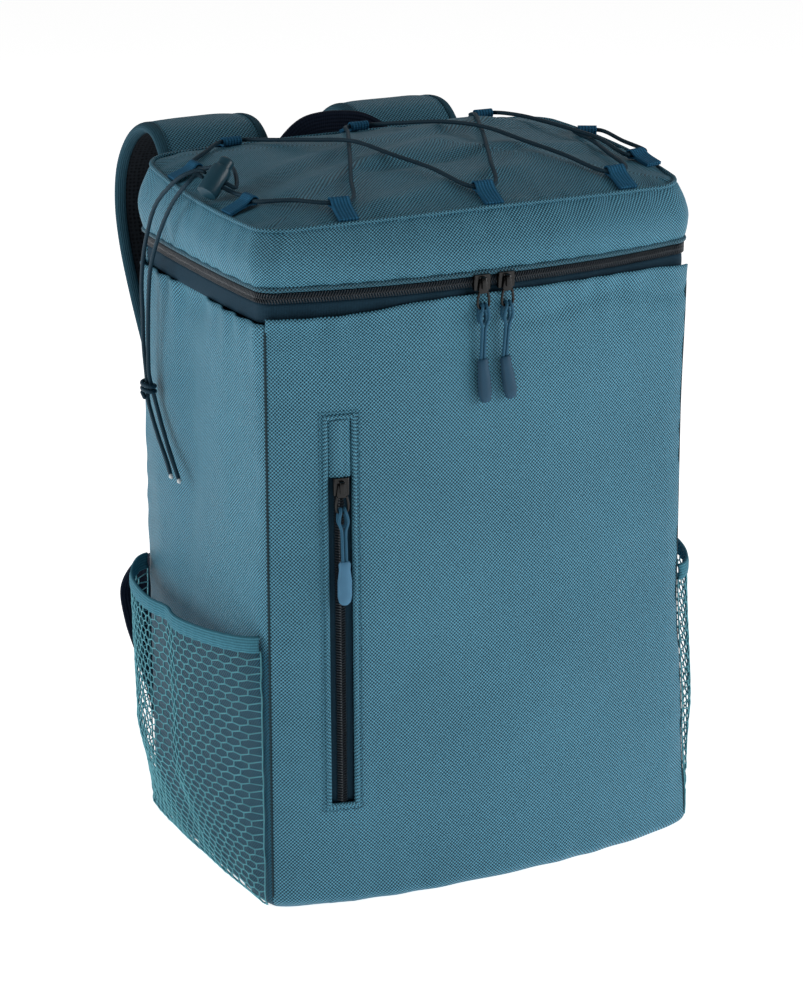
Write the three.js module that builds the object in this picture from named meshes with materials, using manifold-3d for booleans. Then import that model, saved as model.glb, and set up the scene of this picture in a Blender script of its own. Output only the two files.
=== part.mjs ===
// An insulated backpack in teal polyester: five padded panels, a laced lid on a three-sided zip,
// a front pocket, two net side pockets, shoulder straps and a grab handle.
// Millimetres. +X is the right of the bag seen from its front, +Z is up, the front faces -Y.
// The origin is the middle of the base, on the surface that the bag stands on.
import * as THREE from "three";
import { mergeVertices } from "three/addons/utils/BufferGeometryUtils.js";
import Module from "manifold-3d";

const wasm = await Module();
wasm.setup();

// Body
const bodyWidth = 270;
const bodyDepth = 180;
const bodyHeight = 351;
const padding = 6;
const baseThickness = 6;
const cornerSoftness = 2.2;
const footRounding = 6;
const gap = 0.3;

// Main zip and lid
const zipBandHeight = 20;
const coilWidth = 6.5;
const coilThickness = 2.4;
const coilBottom = 11.3;
const tapeThickness = 1.3;
const tapeRecess = 1.4;
const zipCornerRadius = 13;
const lidCornerRadius = 19;
const lidRim = 33;
const lidCloth = 2;
const lidRise = 15.5;

// Front pocket
const slotWidth = 14;
const slotHeight = 231;
const slotBottom = 64;
const slotFromEdge = 35;
const weltWidth = 2.8;
const weltThickness = 1.1;
const garageHeight = 33;
const pocketTapeRecess = 2.8;

// Zip pulls
const sliderLength = 10.5;
const sliderWidth = 9;
const sliderPlate = 2.6;
const sliderSpacing = 15.3;
const slidersFromMiddle = 0.2;
const pocketSliderDrop = 38.7;
const tabLength = 16.5;
const tabWidth = 9;
const tabThickness = 1.2;
const sliderClearance = 0.4;
const pullCordDiameter = 2;
const pullCordDrop = 29;
const pullEndLength = 26;
const pullEndWidth = 8.7;
const pullEndThickness = 5.4;

// Net pockets
const netTop = 158;
const netThickness = 1;
const netStrand = 3.4;
const netBulge = 25;
const netEdgeInset = 4;
const netClearance = 1.5;
const bindingHeight = 10;
const bindingThickness = 2;
const bindingSag = 5;

// Lace, loops and cord lock
const laceDiameter = 2.5;
const laceClearance = 1.45;
const loopWidth = 11.5;
const loopReach = 13.5;
const loopCloth = 1;
const loopInset = 3;
const lockDiameter = 12.5;
const lockLength = 18;
const lockWall = 1.5;
const plungerProud = 6.5;
const plungerTravel = 3;
const tailDiameter = 2.5;
const knotWidth = 9;
const knotHeight = 13;

// Straps and handle
const strapWidth = 75;
const strapThickness = 8;
const leftStrapInset = 63;
const rightStrapInset = 77;
const ladderLockWidth = 34;
const ladderLockHeight = 26;
const ladderLockThickness = 3.5;
const ladderLockSlot = 8;
const webbingWidth = 26;
const webbingThickness = 1.6;
const handleWidth = 22;
const handleThickness = 2.4;
const handleClearance = 1.2;

const halfWidth = bodyWidth / 2;
const halfDepth = bodyDepth / 2;
const lidBottom = bodyHeight + zipBandHeight;
const lidSeam = lidBottom + lidRim;

// Swelling of the stuffed body by height: at is a share of the body's height, front, side and back
// are shares of its depth, flare (the right corner leaning out) is a share of its width.
const bodySwelling = [
  { at: 0.0, front: 0.1, side: 0.008, back: 0.01, flare: 0.05 },
  { at: 0.2, front: 0.105, side: 0.02, back: 0.02, flare: 0.034 },
  { at: 0.45, front: 0.1, side: 0.03, back: 0.025, flare: 0.014 },
  { at: 0.75, front: 0.09, side: 0.022, back: 0.02, flare: 0.013 },
  { at: 1.0, front: 0.083, side: 0.012, back: 0.01, flare: 0.02 },
  { at: 1.3, front: 0.083, side: 0.012, back: 0.01, flare: 0.026 },
];

// Soft dents in the side panels: along is a share of the half depth from the middle (front is
// negative), up of the body's height, the spreads of the same, deep a share of its depth.
const sideDents = [
  { along: 0.02, up: 0.985, wide: 0.34, tall: 0.035, deep: 0.024 },
  { along: -0.45, up: 0.72, wide: 0.2, tall: 0.22, deep: -0.011 },
  { along: 0.1, up: 0.75, wide: 0.18, tall: 0.26, deep: 0.014 },
  { along: 0.62, up: 0.6, wide: 0.2, tall: 0.25, deep: -0.009 },
];

// Long soft folds over the lid: from and to are ends of a ridge as shares of the half width and half
// depth, wide a share of the half depth, high a share of the lid's rise.
const lidFolds = [
  { from: [-0.75, -0.1], to: [0.5, 0.42], wide: 0.11, high: 0.2 },
  { from: [-0.85, -0.55], to: [0.25, 0.02], wide: 0.12, high: 0.24 },
  { from: [-0.55, -0.92], to: [0.35, -0.55], wide: 0.1, high: 0.16 },
  { from: [0.1, -0.28], to: [0.85, -0.2], wide: 0.13, high: 0.18 },
  { from: [0.35, 0.62], to: [0.95, 0.35], wide: 0.12, high: 0.14 },
  { from: [-0.4, -0.38], to: [0.55, -0.3], wide: 0.07, high: -0.16 },
];

// Loops along the lid's seam: side 0 front, 1 right, 2 back, 3 left; at runs from -1 to 1 along
// that side, seen from outside it, left to right. The lace pulls two of them round by turn degrees.
const laceLoops = [
  { name: "left_front", side: 3, at: 0.46 },
  { name: "front_left", side: 0, at: -0.6 },
  { name: "back_middle", side: 2, at: -0.02 },
  { name: "front_right", side: 0, at: 0.7 },
  { name: "right_back", side: 1, at: 0.3, turn: 60 },
  { name: "right_front", side: 1, at: -0.68, turn: -72 },
  { name: "back_right", side: 2, at: -0.63 },
  { name: "front_middle", side: 0, at: 0.06 },
  { name: "back_left", side: 2, at: 0.6 },
  { name: "left_back", side: 3, at: -0.5 },
];

// Spans of the lace that pass over another one: the loops at the ends of the span and of the
// span beneath it, by their place in the list above.
const laceCrossings = [
  { over: 7, under: 1 },
  { over: 2, under: 6 },
  { over: 5, under: 3 },
];

// A place near the left rim: how far out from it, y, and how far up from the lid's seam.
function besideLid([out, y, up]) {
  return new THREE.Vector3(-halfWidth - out, y, lidSeam + up);
}

const cordLockPlace = besideLid([-8, -9, 12]);
const cordLockAxis = new THREE.Vector3(0.68, 0.27, 0.68).normalize();
const roundLock = besideLid([-25, 6, 16]);

// The two loose ends of the lace, from the cord lock over the lid's edge and down the left side.
const tailRoutes = {
  a: [
    [5, 5, 14], [10, 16, 5], [12, 31, -8], [12.5, 42, -25], [12.5, 50, -42], [12, 55, -60],
    [11, 57, -78], [11, 57, -97], [11, 54, -114],
  ],
  b: [
    [6, -3, 11], [10, 7, 0], [12, 19, -15], [12.5, 31, -32], [12.5, 40, -48], [11.5, 46, -65],
    [11, 49, -82], [11, 50, -99], [11, 49.5, -114],
  ],
};
const tailKnotPlace = besideLid([11, 51, -121.5]);
const tailEnds = {
  a: [[11.5, 51, -129], [11.5, 45, -138], [12, 34, -149], [12.5, 22, -159], [13, 15, -166]],
  b: [[8.5, 47, -129], [8.5, 40, -139], [9, 29, -151], [9.5, 18, -161], [10, 10, -168]],
};

// Course of the strap's middle in side view, from its seam on the back panel over the top and down
// to the ladder lock, then of the webbing from the lock to the base. Back is counted from the back
// panel in shares of the body's depth, up from the base in shares of its height.
const strapCourse = [
  { back: 0.048, up: 0.94 }, { back: 0.07, up: 1.01 }, { back: 0.1, up: 1.08 },
  { back: 0.135, up: 1.145 }, { back: 0.22, up: 1.184 }, { back: 0.34, up: 1.185 },
  { back: 0.47, up: 1.15 }, { back: 0.565, up: 1.09 }, { back: 0.595, up: 1.02 },
  { back: 0.57, up: 0.95 }, { back: 0.5, up: 0.87 }, { back: 0.4, up: 0.78 },
  { back: 0.29, up: 0.69 }, { back: 0.21, up: 0.61 },
];
const webbingCourse = [
  { back: 0.3, up: 0.43 }, { back: 0.48, up: 0.38 }, { back: 0.63, up: 0.33 },
  { back: 0.67, up: 0.285 }, { back: 0.58, up: 0.24 }, { back: 0.4, up: 0.19 },
  { back: 0.22, up: 0.125 }, { back: 0.1, up: 0.06 }, { back: 0.055, up: 0.02 },
];
const strapTaper = 0.78;
const webbingFootInset = 23;
const keeperReach = 20;
const keeperCloth = 1.5;

// Course of the grab handle's middle, as shares of the half width and of the lid's rim above its
// seam. The webbing lies flat against the lid's back and is folded at the two upper corners.
const handleCourse = [
  { across: -0.44, up: -0.95 }, { across: -0.3, up: -0.35 }, { across: -0.15, up: 0.25 },
  { across: -0.08, up: 0.33 }, { across: 0.08, up: 0.3 }, { across: 0.16, up: 0.18 },
  { across: 0.31, up: -0.35 }, { across: 0.44, up: -0.95 },
];

const finishes = {
  fabric: { color: 0x33687a, roughness: 0.85, metalness: 0 },
  lidFabric: { color: 0x2c5866, roughness: 0.88, metalness: 0 },
  tape: { color: 0x182f42, roughness: 0.8, metalness: 0 },
  coil: { color: 0x1b2730, roughness: 0.45, metalness: 0 },
  metal: { color: 0x1c1f22, roughness: 0.35, metalness: 0.9 },
  rubber: { color: 0x2f5873, roughness: 0.5, metalness: 0 },
  paleRubber: { color: 0x5587af, roughness: 0.5, metalness: 0 },
  net: { color: 0x3f8791, roughness: 0.8, metalness: 0 },
  elastic: { color: 0x2b6585, roughness: 0.85, metalness: 0 },
  lace: { color: 0x22485a, roughness: 0.75, metalness: 0 },
  plastic: { color: 0x1d3d4c, roughness: 0.5, metalness: 0 },
  webbing: { color: 0x0c1524, roughness: 0.8, metalness: 0 },
};

const bag = new THREE.Group();

function add(name, geometry, finish, place) {
  const mesh = new THREE.Mesh(geometry, new THREE.MeshStandardMaterial(finishes[finish]));
  mesh.name = name;
  if (place) mesh.applyMatrix4(place);
  bag.add(mesh);
}

function mix(a, b, share) {
  return a + (b - a) * share;
}

// Value of a column between two rows of a table that is ordered by its first column.
function lookUp(rows, at, column) {
  let k = 1;
  while (k < rows.length - 1 && at > rows[k].at) k += 1;
  const share = THREE.MathUtils.clamp((at - rows[k - 1].at) / (rows[k].at - rows[k - 1].at), 0, 1);
  return mix(rows[k - 1][column], rows[k][column], share * share * (3 - 2 * share));
}

// Evenly spaced grid lines, with the given lines put in and near ones taken out.
function gridLines(from, to, count, fixed = []) {
  const even = Array.from({ length: count + 1 }, (_, k) => mix(from, to, k / count));
  const clear = (Math.abs(to - from) / count) * 0.45;
  const kept = even.filter((line, k) => {
    const end = k === 0 || k === count;
    return end || fixed.every((other) => Math.abs(other - line) > clear);
  });
  return [...kept, ...fixed].sort((a, b) => a - b);
}

function signedVolume(positions, triangles) {
  const corners = [new THREE.Vector3(), new THREE.Vector3(), new THREE.Vector3()];
  let volume = 0;
  for (let k = 0; k < triangles.length; k += 3) {
    corners.forEach((corner, n) => corner.fromArray(positions, triangles[k + n] * 3));
    volume += corners[0].dot(corners[1].clone().cross(corners[2]));
  }
  return volume / 6;
}

function closedGeometry(positions, triangles) {
  if (signedVolume(positions, triangles) < 0) triangles.reverse();
  const geometry = new THREE.BufferGeometry();
  geometry.setAttribute("position", new THREE.Float32BufferAttribute(positions, 3));
  geometry.setIndex(triangles);
  return geometry;
}

// A wall between two surfaces: face(u, v, inset) gives a point, with inset 0 on the outer face and
// 1 on the inner one. Cells of the grid that keep() refuses are holes right through the wall.
function wall(face, us, vs, { closed = false, keep = () => true } = {}) {
  const positions = [];
  const triangles = [];
  const columns = closed ? us.length : us.length - 1;
  for (const inset of [0, 1]) {
    for (const v of vs) {
      for (const u of us) positions.push(...face(u, v, inset));
    }
  }
  const at = (inset, i, j) => (inset * vs.length + j) * us.length + (i % us.length);
  const quad = (a, b, c, d) => triangles.push(a, b, c, a, c, d);
  const filled = (i, j) => {
    if (j < 0 || j > vs.length - 2) return false;
    if (!closed && (i < 0 || i > columns - 1)) return false;
    return keep((i + columns) % columns, j);
  };
  for (let j = 0; j < vs.length - 1; j += 1) {
    for (let i = 0; i < columns; i += 1) {
      if (!filled(i, j)) continue;
      quad(at(0, i, j), at(0, i + 1, j), at(0, i + 1, j + 1), at(0, i, j + 1));
      quad(at(1, i, j), at(1, i, j + 1), at(1, i + 1, j + 1), at(1, i + 1, j));
      if (!filled(i - 1, j)) quad(at(0, i, j), at(0, i, j + 1), at(1, i, j + 1), at(1, i, j));
      if (!filled(i + 1, j)) {
        quad(at(0, i + 1, j + 1), at(0, i + 1, j), at(1, i + 1, j), at(1, i + 1, j + 1));
      }
      if (!filled(i, j - 1)) quad(at(0, i + 1, j), at(0, i, j), at(1, i, j), at(1, i + 1, j));
      if (!filled(i, j + 1)) {
        quad(at(0, i, j + 1), at(0, i + 1, j + 1), at(1, i + 1, j + 1), at(1, i, j + 1));
      }
    }
  }
  return closedGeometry(positions, triangles);
}

function toSolid(geometry) {
  const bare = geometry.clone();
  bare.deleteAttribute("normal");
  bare.deleteAttribute("uv");
  const merged = mergeVertices(bare, 1e-4);
  const mesh = new wasm.Mesh({
    numProp: 3,
    vertProperties: new Float32Array(merged.attributes.position.array),
    triVerts: new Uint32Array(merged.index.array),
  });
  return new wasm.Manifold(mesh);
}

function toGeometry(solid) {
  const mesh = solid.getMesh();
  const geometry = new THREE.BufferGeometry();
  geometry.setAttribute("position", new THREE.BufferAttribute(mesh.vertProperties, 3));
  geometry.setIndex(new THREE.BufferAttribute(mesh.triVerts, 1));
  return geometry;
}

function pierced(body, ...cutters) {
  return toGeometry(cutters.reduce((rest, cutter) => rest.subtract(toSolid(cutter)), toSolid(body)));
}

function box(width, depth, height, x, y, z) {
  return new THREE.BoxGeometry(width, depth, height).translate(x, y, z);
}

// A curve whose steps fall on its own points, so that bends keep the points chosen for them.
class Route extends THREE.CatmullRomCurve3 {
  getUtoTmapping(u) {
    return u;
  }
}

function tube(points, diameter, sides = 8) {
  const section = new THREE.Shape();
  for (let k = 0; k < sides; k += 1) {
    const turn = (2 * Math.PI * k) / sides;
    const corner = [(diameter / 2) * Math.cos(turn), (diameter / 2) * Math.sin(turn)];
    if (k === 0) section.moveTo(...corner);
    else section.lineTo(...corner);
  }
  const extrudePath = new Route(points);
  return new THREE.ExtrudeGeometry(section, { steps: points.length - 1, extrudePath });
}

// Body panels

function swelling(z, column) {
  return lookUp(bodySwelling, z / bodyHeight, column);
}

function flare(z) {
  return swelling(z, "flare") * bodyWidth;
}

function swell(t) {
  return 1 - Math.abs(t) ** 2.4;
}

function footInset(z) {
  return z < footRounding ? (footRounding / 2) * (1 - z / footRounding) ** 2 : 0;
}

// How far a panel's outer face draws in towards its ends, which softens the body's corners.
function cornerInset(s) {
  const soften = 0.05;
  const nearEnd = Math.max(0, 1 - Math.min(s, 1 - s) / soften);
  return cornerSoftness * nearEnd * nearEnd;
}

function frontFace(s, z, inset) {
  const cut = Math.max(inset, cornerSoftness + footInset(z)) + gap;
  const x = mix(-halfWidth + cut, halfWidth - cut, s) + flare(z) * s ** 3;
  const bulge = swelling(z, "front") * bodyDepth * swell(2 * s - 1);
  return [x, -halfDepth - bulge + Math.max(inset, cornerInset(s) + footInset(z)), z];
}

function backFace(s, z, inset) {
  const cut = Math.max(inset, cornerSoftness + footInset(z)) + gap;
  const x = mix(-halfWidth + cut, halfWidth - cut, s) + flare(z) * s ** 3;
  const bulge = swelling(z, "back") * bodyDepth * swell(2 * s - 1);
  return [x, halfDepth + bulge - Math.max(inset, cornerInset(s) + footInset(z)), z];
}

function dentDepth(s, z) {
  let depth = 0;
  for (const dent of sideDents) {
    const along = (2 * s - 1 - dent.along) / dent.wide;
    const up = (z / bodyHeight - dent.up) / dent.tall;
    depth += dent.deep * bodyDepth * Math.exp(-along * along - up * up);
  }
  return depth * swell(2 * s - 1);
}

// s runs from the front to the back; outward is -1 for the left side and 1 for the right.
function sideFace(outward, s, z, inset) {
  const cut = Math.max(inset, cornerSoftness + footInset(z)) + gap;
  const y = mix(-halfDepth + cut, halfDepth - cut, s);
  const bulge = swelling(z, "side") * bodyDepth * swell(2 * s - 1) - dentDepth(s, z);
  const lean = outward > 0 ? flare(z) : 0;
  const out = halfWidth + lean + bulge - Math.max(inset, cornerInset(s) + footInset(z));
  return [outward * out, y, z];
}

function panelColumns(count, fixed = []) {
  return gridLines(0, 1, count, [0.018, 0.05, ...fixed, 0.95, 0.982]);
}

// All four panels share their rows, so that their mitred ends stay side by side as they lean.
function panelRows() {
  const fixed = [footRounding * 0.4, footRounding, slotBottom, slotTop, bodyHeight * 0.96];
  return gridLines(0, bodyHeight, 6, fixed);
}

function frontShare(x, z) {
  const cut = cornerSoftness + gap;
  let share = 0;
  for (let k = 0; k < 8; k += 1) {
    share = (x - flare(z) * share ** 3 + halfWidth - cut) / (2 * (halfWidth - cut));
  }
  return share;
}

const slotLeft = -halfWidth + slotFromEdge;
const slotRight = slotLeft + slotWidth;
const slotTop = slotBottom + slotHeight;
const slotMiddle = (slotLeft + slotRight) / 2;

// A line across the front panel, so that the slot's two edges stay upright where the panel leans.
function frontAt(x, z, inset) {
  const s = frontShare(x, z);
  const bulge = swelling(z, "front") * bodyDepth * swell(2 * s - 1);
  return [x, -halfDepth - bulge + inset, z];
}

function frontPanel() {
  const left = frontShare(slotLeft, slotBottom);
  const right = frontShare(slotRight, slotBottom);
  const us = panelColumns(10, [left, right]);
  const vs = panelRows();
  const slotColumn = us.indexOf(left);
  const keep = (i, j) => i !== slotColumn || vs[j] < slotBottom || vs[j] >= slotTop;
  const face = (u, v, inset) => {
    if (u === left) return frontAt(slotLeft, v, inset * padding);
    if (u === right) return frontAt(slotRight, v, inset * padding);
    return frontFace(u, v, inset * padding);
  };
  add("front_panel", wall(face, us, vs, { keep }), "fabric");
}

function bodyPanels() {
  frontPanel();
  const back = (u, v, inset) => backFace(u, v, inset * padding);
  add("back_panel", wall(back, panelColumns(5), panelRows()), "fabric");
  for (const [name, outward] of [["side_panel_left", -1], ["side_panel_right", 1]]) {
    const face = (u, v, inset) => sideFace(outward, u, v, inset * padding);
    add(name, wall(face, panelColumns(8), panelRows()), "fabric");
  }
}

function basePanel() {
  const inset = padding + gap * 2;
  const shares = gridLines(0, 1, 8);
  const outline = [];
  for (const s of shares) outline.push(frontFace(s, 0, inset));
  for (const s of shares) outline.push(sideFace(1, s, 0, inset));
  for (const s of shares.slice().reverse()) outline.push(backFace(s, 0, inset));
  for (const s of shares.slice().reverse()) outline.push(sideFace(-1, s, 0, inset));
  const shape = new THREE.Shape(outline.map(([x, y]) => new THREE.Vector2(x, y)));
  const geometry = new THREE.ExtrudeGeometry(shape, { depth: baseThickness, bevelEnabled: false });
  add("base_panel", geometry, "fabric");
}

// Zip band and lid

// A point on the bag's plan outline above the body. side 0 is the front, 1 the right, 2 the back and
// 3 the left; t runs from -1 to 1 along a side, and its outermost share lies on the corner's arc.
const arcShare = 0.16;

function rim(side, t, { radius, swollen, front, sideOut, back, lean }, inset) {
  const halves = [halfWidth, halfDepth, halfWidth, halfDepth];
  const bulges = [front, sideOut, back, sideOut];
  const half = halves[side] + swollen;
  const out = halves[(side + 1) % 4] + swollen;
  const r = radius - inset;
  const straight = 1 - arcShare;
  let along = (t / straight) * (half - radius);
  let outward = out - inset + bulges[side] * swell(Math.min(1, Math.abs(t) / straight));
  if (Math.abs(t) > straight) {
    const turn = ((Math.PI / 4) * (Math.abs(t) - straight)) / arcShare;
    along = Math.sign(t) * (half - radius + r * Math.sin(turn));
    outward = out - radius + r * Math.cos(turn);
  }
  const point = [
    [along, -outward],
    [outward, along],
    [-along, outward],
    [-outward, -along],
  ][side];
  const share = (point[0] + halfWidth) / bodyWidth;
  return [point[0] + lean * share ** 3, point[1]];
}

function rimShape(z) {
  return {
    radius: zipCornerRadius,
    swollen: 0,
    front: swelling(z, "front") * bodyDepth,
    sideOut: swelling(z, "side") * bodyDepth,
    back: swelling(z, "back") * bodyDepth,
    lean: flare(z),
  };
}

// Stations round the rim from the back left corner past the left side, front and right side.
function rimStations(sides, perSide) {
  const ts = [-1, -1 + arcShare * 0.5, -1 + arcShare];
  for (let k = 1; k < perSide; k += 1) ts.push(mix(-1 + arcShare, 1 - arcShare, k / perSide));
  ts.push(1 - arcShare, 1 - arcShare * 0.5);
  return sides.flatMap((side) => ts.map((t) => [side, t]));
}

function zipStations() {
  const stations = rimStations([3, 0, 1], 8);
  return [...stations.slice(2), [1, 1 - arcShare]].filter((station, k, all) => {
    const last = k === all.length - 1;
    return last || !(station[0] === 1 && station[1] > 1 - arcShare - 0.01);
  });
}

function zipStrip(name, bottom, height, recess, thickness, finish) {
  const stations = zipStations();
  const face = (k, z, inset) => {
    const [side, t] = stations[k];
    return [...rim(side, t, rimShape(z), recess + inset * thickness), z];
  };
  const geometry = wall(face, stations.map((_, k) => k), [bottom, bottom + height]);
  add(name, geometry, finish);
}

function mainZip() {
  const coilFoot = bodyHeight + coilBottom;
  const coilTop = coilFoot + coilWidth;
  const lowerHeight = coilBottom - 2 * gap;
  const upperHeight = lidBottom - coilTop - 2 * gap;
  zipStrip("main_zip_tape_lower", bodyHeight + gap, lowerHeight, tapeRecess, tapeThickness, "tape");
  zipStrip("main_zip_coil", coilFoot, coilWidth, tapeRecess - 1, coilThickness, "coil");
  zipStrip("main_zip_tape_upper", coilTop + gap, upperHeight, tapeRecess, tapeThickness, "tape");
  const hinge = (t, z, inset) => [...rim(2, t, rimShape(z), tapeRecess + inset * lidCloth), z];
  const reach = 1 - arcShare;
  const rows = [bodyHeight + gap, lidBottom - gap];
  add("lid_hinge", wall(hinge, gridLines(-reach, reach, 6), rows), "fabric");
}

// Height of the seam round the lid's top: level in front, rising to the back and on the right.
function seamHeight(x, y) {
  const back = THREE.MathUtils.clamp((y / halfDepth + 1) / 2, 0, 1) ** 2.6;
  const right = THREE.MathUtils.clamp((x / halfWidth + 1) / 2, 0, 1) ** 2;
  const middle = THREE.MathUtils.clamp(1 - (y / halfDepth) ** 2, 0, 1);
  const front = 0.06 * (1 - (x / halfWidth) ** 2);
  return lidSeam + lidRim * (0.3 * back + 0.2 * right * middle + front - 0.06);
}

function lidShape(v) {
  const round = Math.sin(Math.PI * v);
  const flat = rimShape(lidBottom);
  return {
    radius: mix(zipCornerRadius, lidCornerRadius, v ** 0.5),
    swollen: 4.2 * round - 2.5 * v,
    front: mix(flat.front, 5, v),
    sideOut: flat.sideOut,
    back: flat.back,
    lean: flat.lean,
  };
}

function lidBand() {
  const stations = rimStations([3, 0, 1, 2], 7);
  const face = (k, v, inset) => {
    const [side, t] = stations[k];
    const [x, y] = rim(side, t, lidShape(v), inset * lidCloth);
    const top = rim(side, t, lidShape(1), 0);
    return [x, y, mix(lidBottom, seamHeight(...top) - lidCloth - gap, v)];
  };
  const rows = [0, 0.28, 0.7, 1];
  add("lid_band", wall(face, stations.map((_, k) => k), rows, { closed: true }), "fabric");
}

function foldHeight(x, y) {
  let height = 0;
  for (const fold of lidFolds) {
    const from = new THREE.Vector2(fold.from[0] * halfWidth, fold.from[1] * halfDepth);
    const to = new THREE.Vector2(fold.to[0] * halfWidth, fold.to[1] * halfDepth);
    const along = to.clone().sub(from);
    const share = new THREE.Vector2(x, y).sub(from).dot(along) / along.lengthSq();
    const across = Math.abs((x - from.x) * along.y - (y - from.y) * along.x) / along.length();
    const fade = Math.exp(-((Math.max(0, Math.abs(2 * share - 1) - 0.7) / 0.3) ** 2));
    const profile = Math.exp(-((across / (fold.wide * halfDepth)) ** 2));
    height += fold.high * lidRise * fade * profile;
  }
  return height;
}

// A point of the lid's top: u and v run from -1 to 1 over a square that is drawn out to the rim.
function lidPoint(u, v) {
  const ring = Math.max(Math.abs(u), Math.abs(v));
  if (ring < 1e-6) return [0, 0, seamHeight(0, 0) + lidRise + foldHeight(0, 0)];
  let place;
  if (Math.abs(v) >= Math.abs(u)) place = v < 0 ? [0, u / ring] : [2, -u / ring];
  else place = u > 0 ? [1, v / ring] : [3, -v / ring];
  const [edgeX, edgeY] = rim(...place, lidShape(1), 0);
  const x = edgeX * ring;
  const y = edgeY * ring;
  const rise = 1 - ring ** 2.2;
  return [x, y, seamHeight(x, y) + lidRise * rise + foldHeight(x, y) * Math.min(1, rise * 3)];
}

function lidTop() {
  const face = (u, v, inset) => {
    const [x, y, z] = lidPoint(u, v);
    return [x, y, z - lidCloth * inset];
  };
  const us = gridLines(-1, 1, 14, [-0.95, 0.95]);
  const vs = gridLines(-1, 1, 12, [-0.93, 0.93]);
  add("lid_top", wall(face, us, vs), "lidFabric");
  bag.updateMatrixWorld(true);
}

// Height of the lid's cloth over a place in plan, or of its seam beyond the cloth.
function lidHeight(x, y) {
  const down = new THREE.Raycaster(new THREE.Vector3(x, y, 2 * lidSeam), new THREE.Vector3(0, 0, -1));
  const [hit] = down.intersectObject(bag.getObjectByName("lid_top"));
  return hit ? hit.point.z : seamHeight(x, y);
}

// Front pocket

// A strip let into the front pocket's slot or laid on its edge, following the panel's swelling.
function pocketStrip(left, right, bottom, top, recess, thickness, columns = 1) {
  const face = (x, z, inset) => frontAt(x, z, recess + inset * thickness);
  return wall(face, gridLines(left, right, columns), gridLines(bottom, top, 7));
}

function frontPocket() {
  const us = [slotLeft - weltWidth, slotLeft + 0.2, slotRight - 0.2, slotRight + weltWidth];
  const inner = [slotBottom + 0.2, slotTop - 0.2];
  const rows = gridLines(inner[0], inner[1], 7);
  const vs = [slotBottom - weltWidth, ...rows, slotTop + weltWidth];
  const keep = (i, j) => i !== 1 || j === 0 || j === vs.length - 2;
  const welt = (x, z, inset) => frontAt(x, z, -gap - weltThickness * (1 - inset));
  add("pocket_welt", wall(welt, us, vs, { keep }), "fabric");
  const left = slotLeft + gap;
  const right = slotRight - gap;
  const zipTop = slotTop - garageHeight;
  const tape = pocketStrip(left, right, slotBottom + gap, zipTop - gap,
    pocketTapeRecess, tapeThickness);
  add("pocket_zip_tape", tape, "tape");
  const coilLeft = slotMiddle - coilWidth / 2;
  const coilRight = slotMiddle + coilWidth / 2;
  const coilBack = pocketTapeRecess - gap;
  const coil = pocketStrip(coilLeft, coilRight, slotBottom + gap, zipTop - gap,
    coilBack - coilThickness, coilThickness);
  add("pocket_zip_coil", coil, "coil");
  const garage = (x, z, inset) => {
    const swollen = 2.2 * swell((x - slotMiddle) / (slotWidth / 2));
    return frontAt(x, z, 1.2 - swollen + inset * 1.4);
  };
  const columns = gridLines(left, right, 4);
  add("pocket_garage", wall(garage, columns, gridLines(zipTop, slotTop - gap, 3)), "fabric");
}

// Zip sliders with their pull tabs, cord loops and moulded ends

// Plate, two legs and a strap over them, built round the middle of the plate's back face.
function sliderGeometry(width, height) {
  const legs = 1.2;
  const tunnel = 4.4;
  const under = 1.9;
  const deep = sliderPlate + under + 1.1;
  const bridge = sliderLength * 0.28;
  const parts = [
    box(width, sliderPlate, height, 0, -sliderPlate / 2, 0),
    box(bridge, deep, legs, 0, -deep / 2, tunnel / 2 + legs / 2),
    box(bridge, deep, legs, 0, -deep / 2, -tunnel / 2 - legs / 2),
    box(bridge, 1.1, tunnel + 2 * legs, 0, -deep + 0.55, 0),
  ];
  const solids = parts.map(toSolid);
  return toGeometry(solids.slice(1).reduce((whole, part) => whole.add(part), solids[0]));
}

const tabDepth = sliderPlate + 0.35 + tabThickness / 2;
const tabTop = 1.9;
const tabBar = 1.4;

function tabGeometry() {
  const outline = new THREE.Shape();
  const half = tabWidth / 2;
  const foot = tabTop - tabLength;
  const corners = [
    [-half * 0.72, tabTop], [half * 0.72, tabTop], [half, tabTop - 3], [half * 0.8, tabTop - 8],
    [half, foot + 3], [half * 0.6, foot], [-half * 0.6, foot], [-half, foot + 3],
    [-half * 0.8, tabTop - 8], [-half, tabTop - 3],
  ];
  outline.setFromPoints(corners.map(([x, z]) => new THREE.Vector2(x, z)));
  const plate = new THREE.ExtrudeGeometry(outline, { depth: tabThickness, bevelEnabled: false });
  plate.rotateX(Math.PI / 2).translate(0, tabThickness / 2 - tabDepth, 0);
  const hole = (bottom, top) => {
    return box(half, 3 * tabThickness, top - bottom, 0, -tabDepth, (top + bottom) / 2);
  };
  return pierced(plate, hole(tabTop - 6.4, tabTop - tabBar), hole(foot + tabBar, foot + 5));
}

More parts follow.
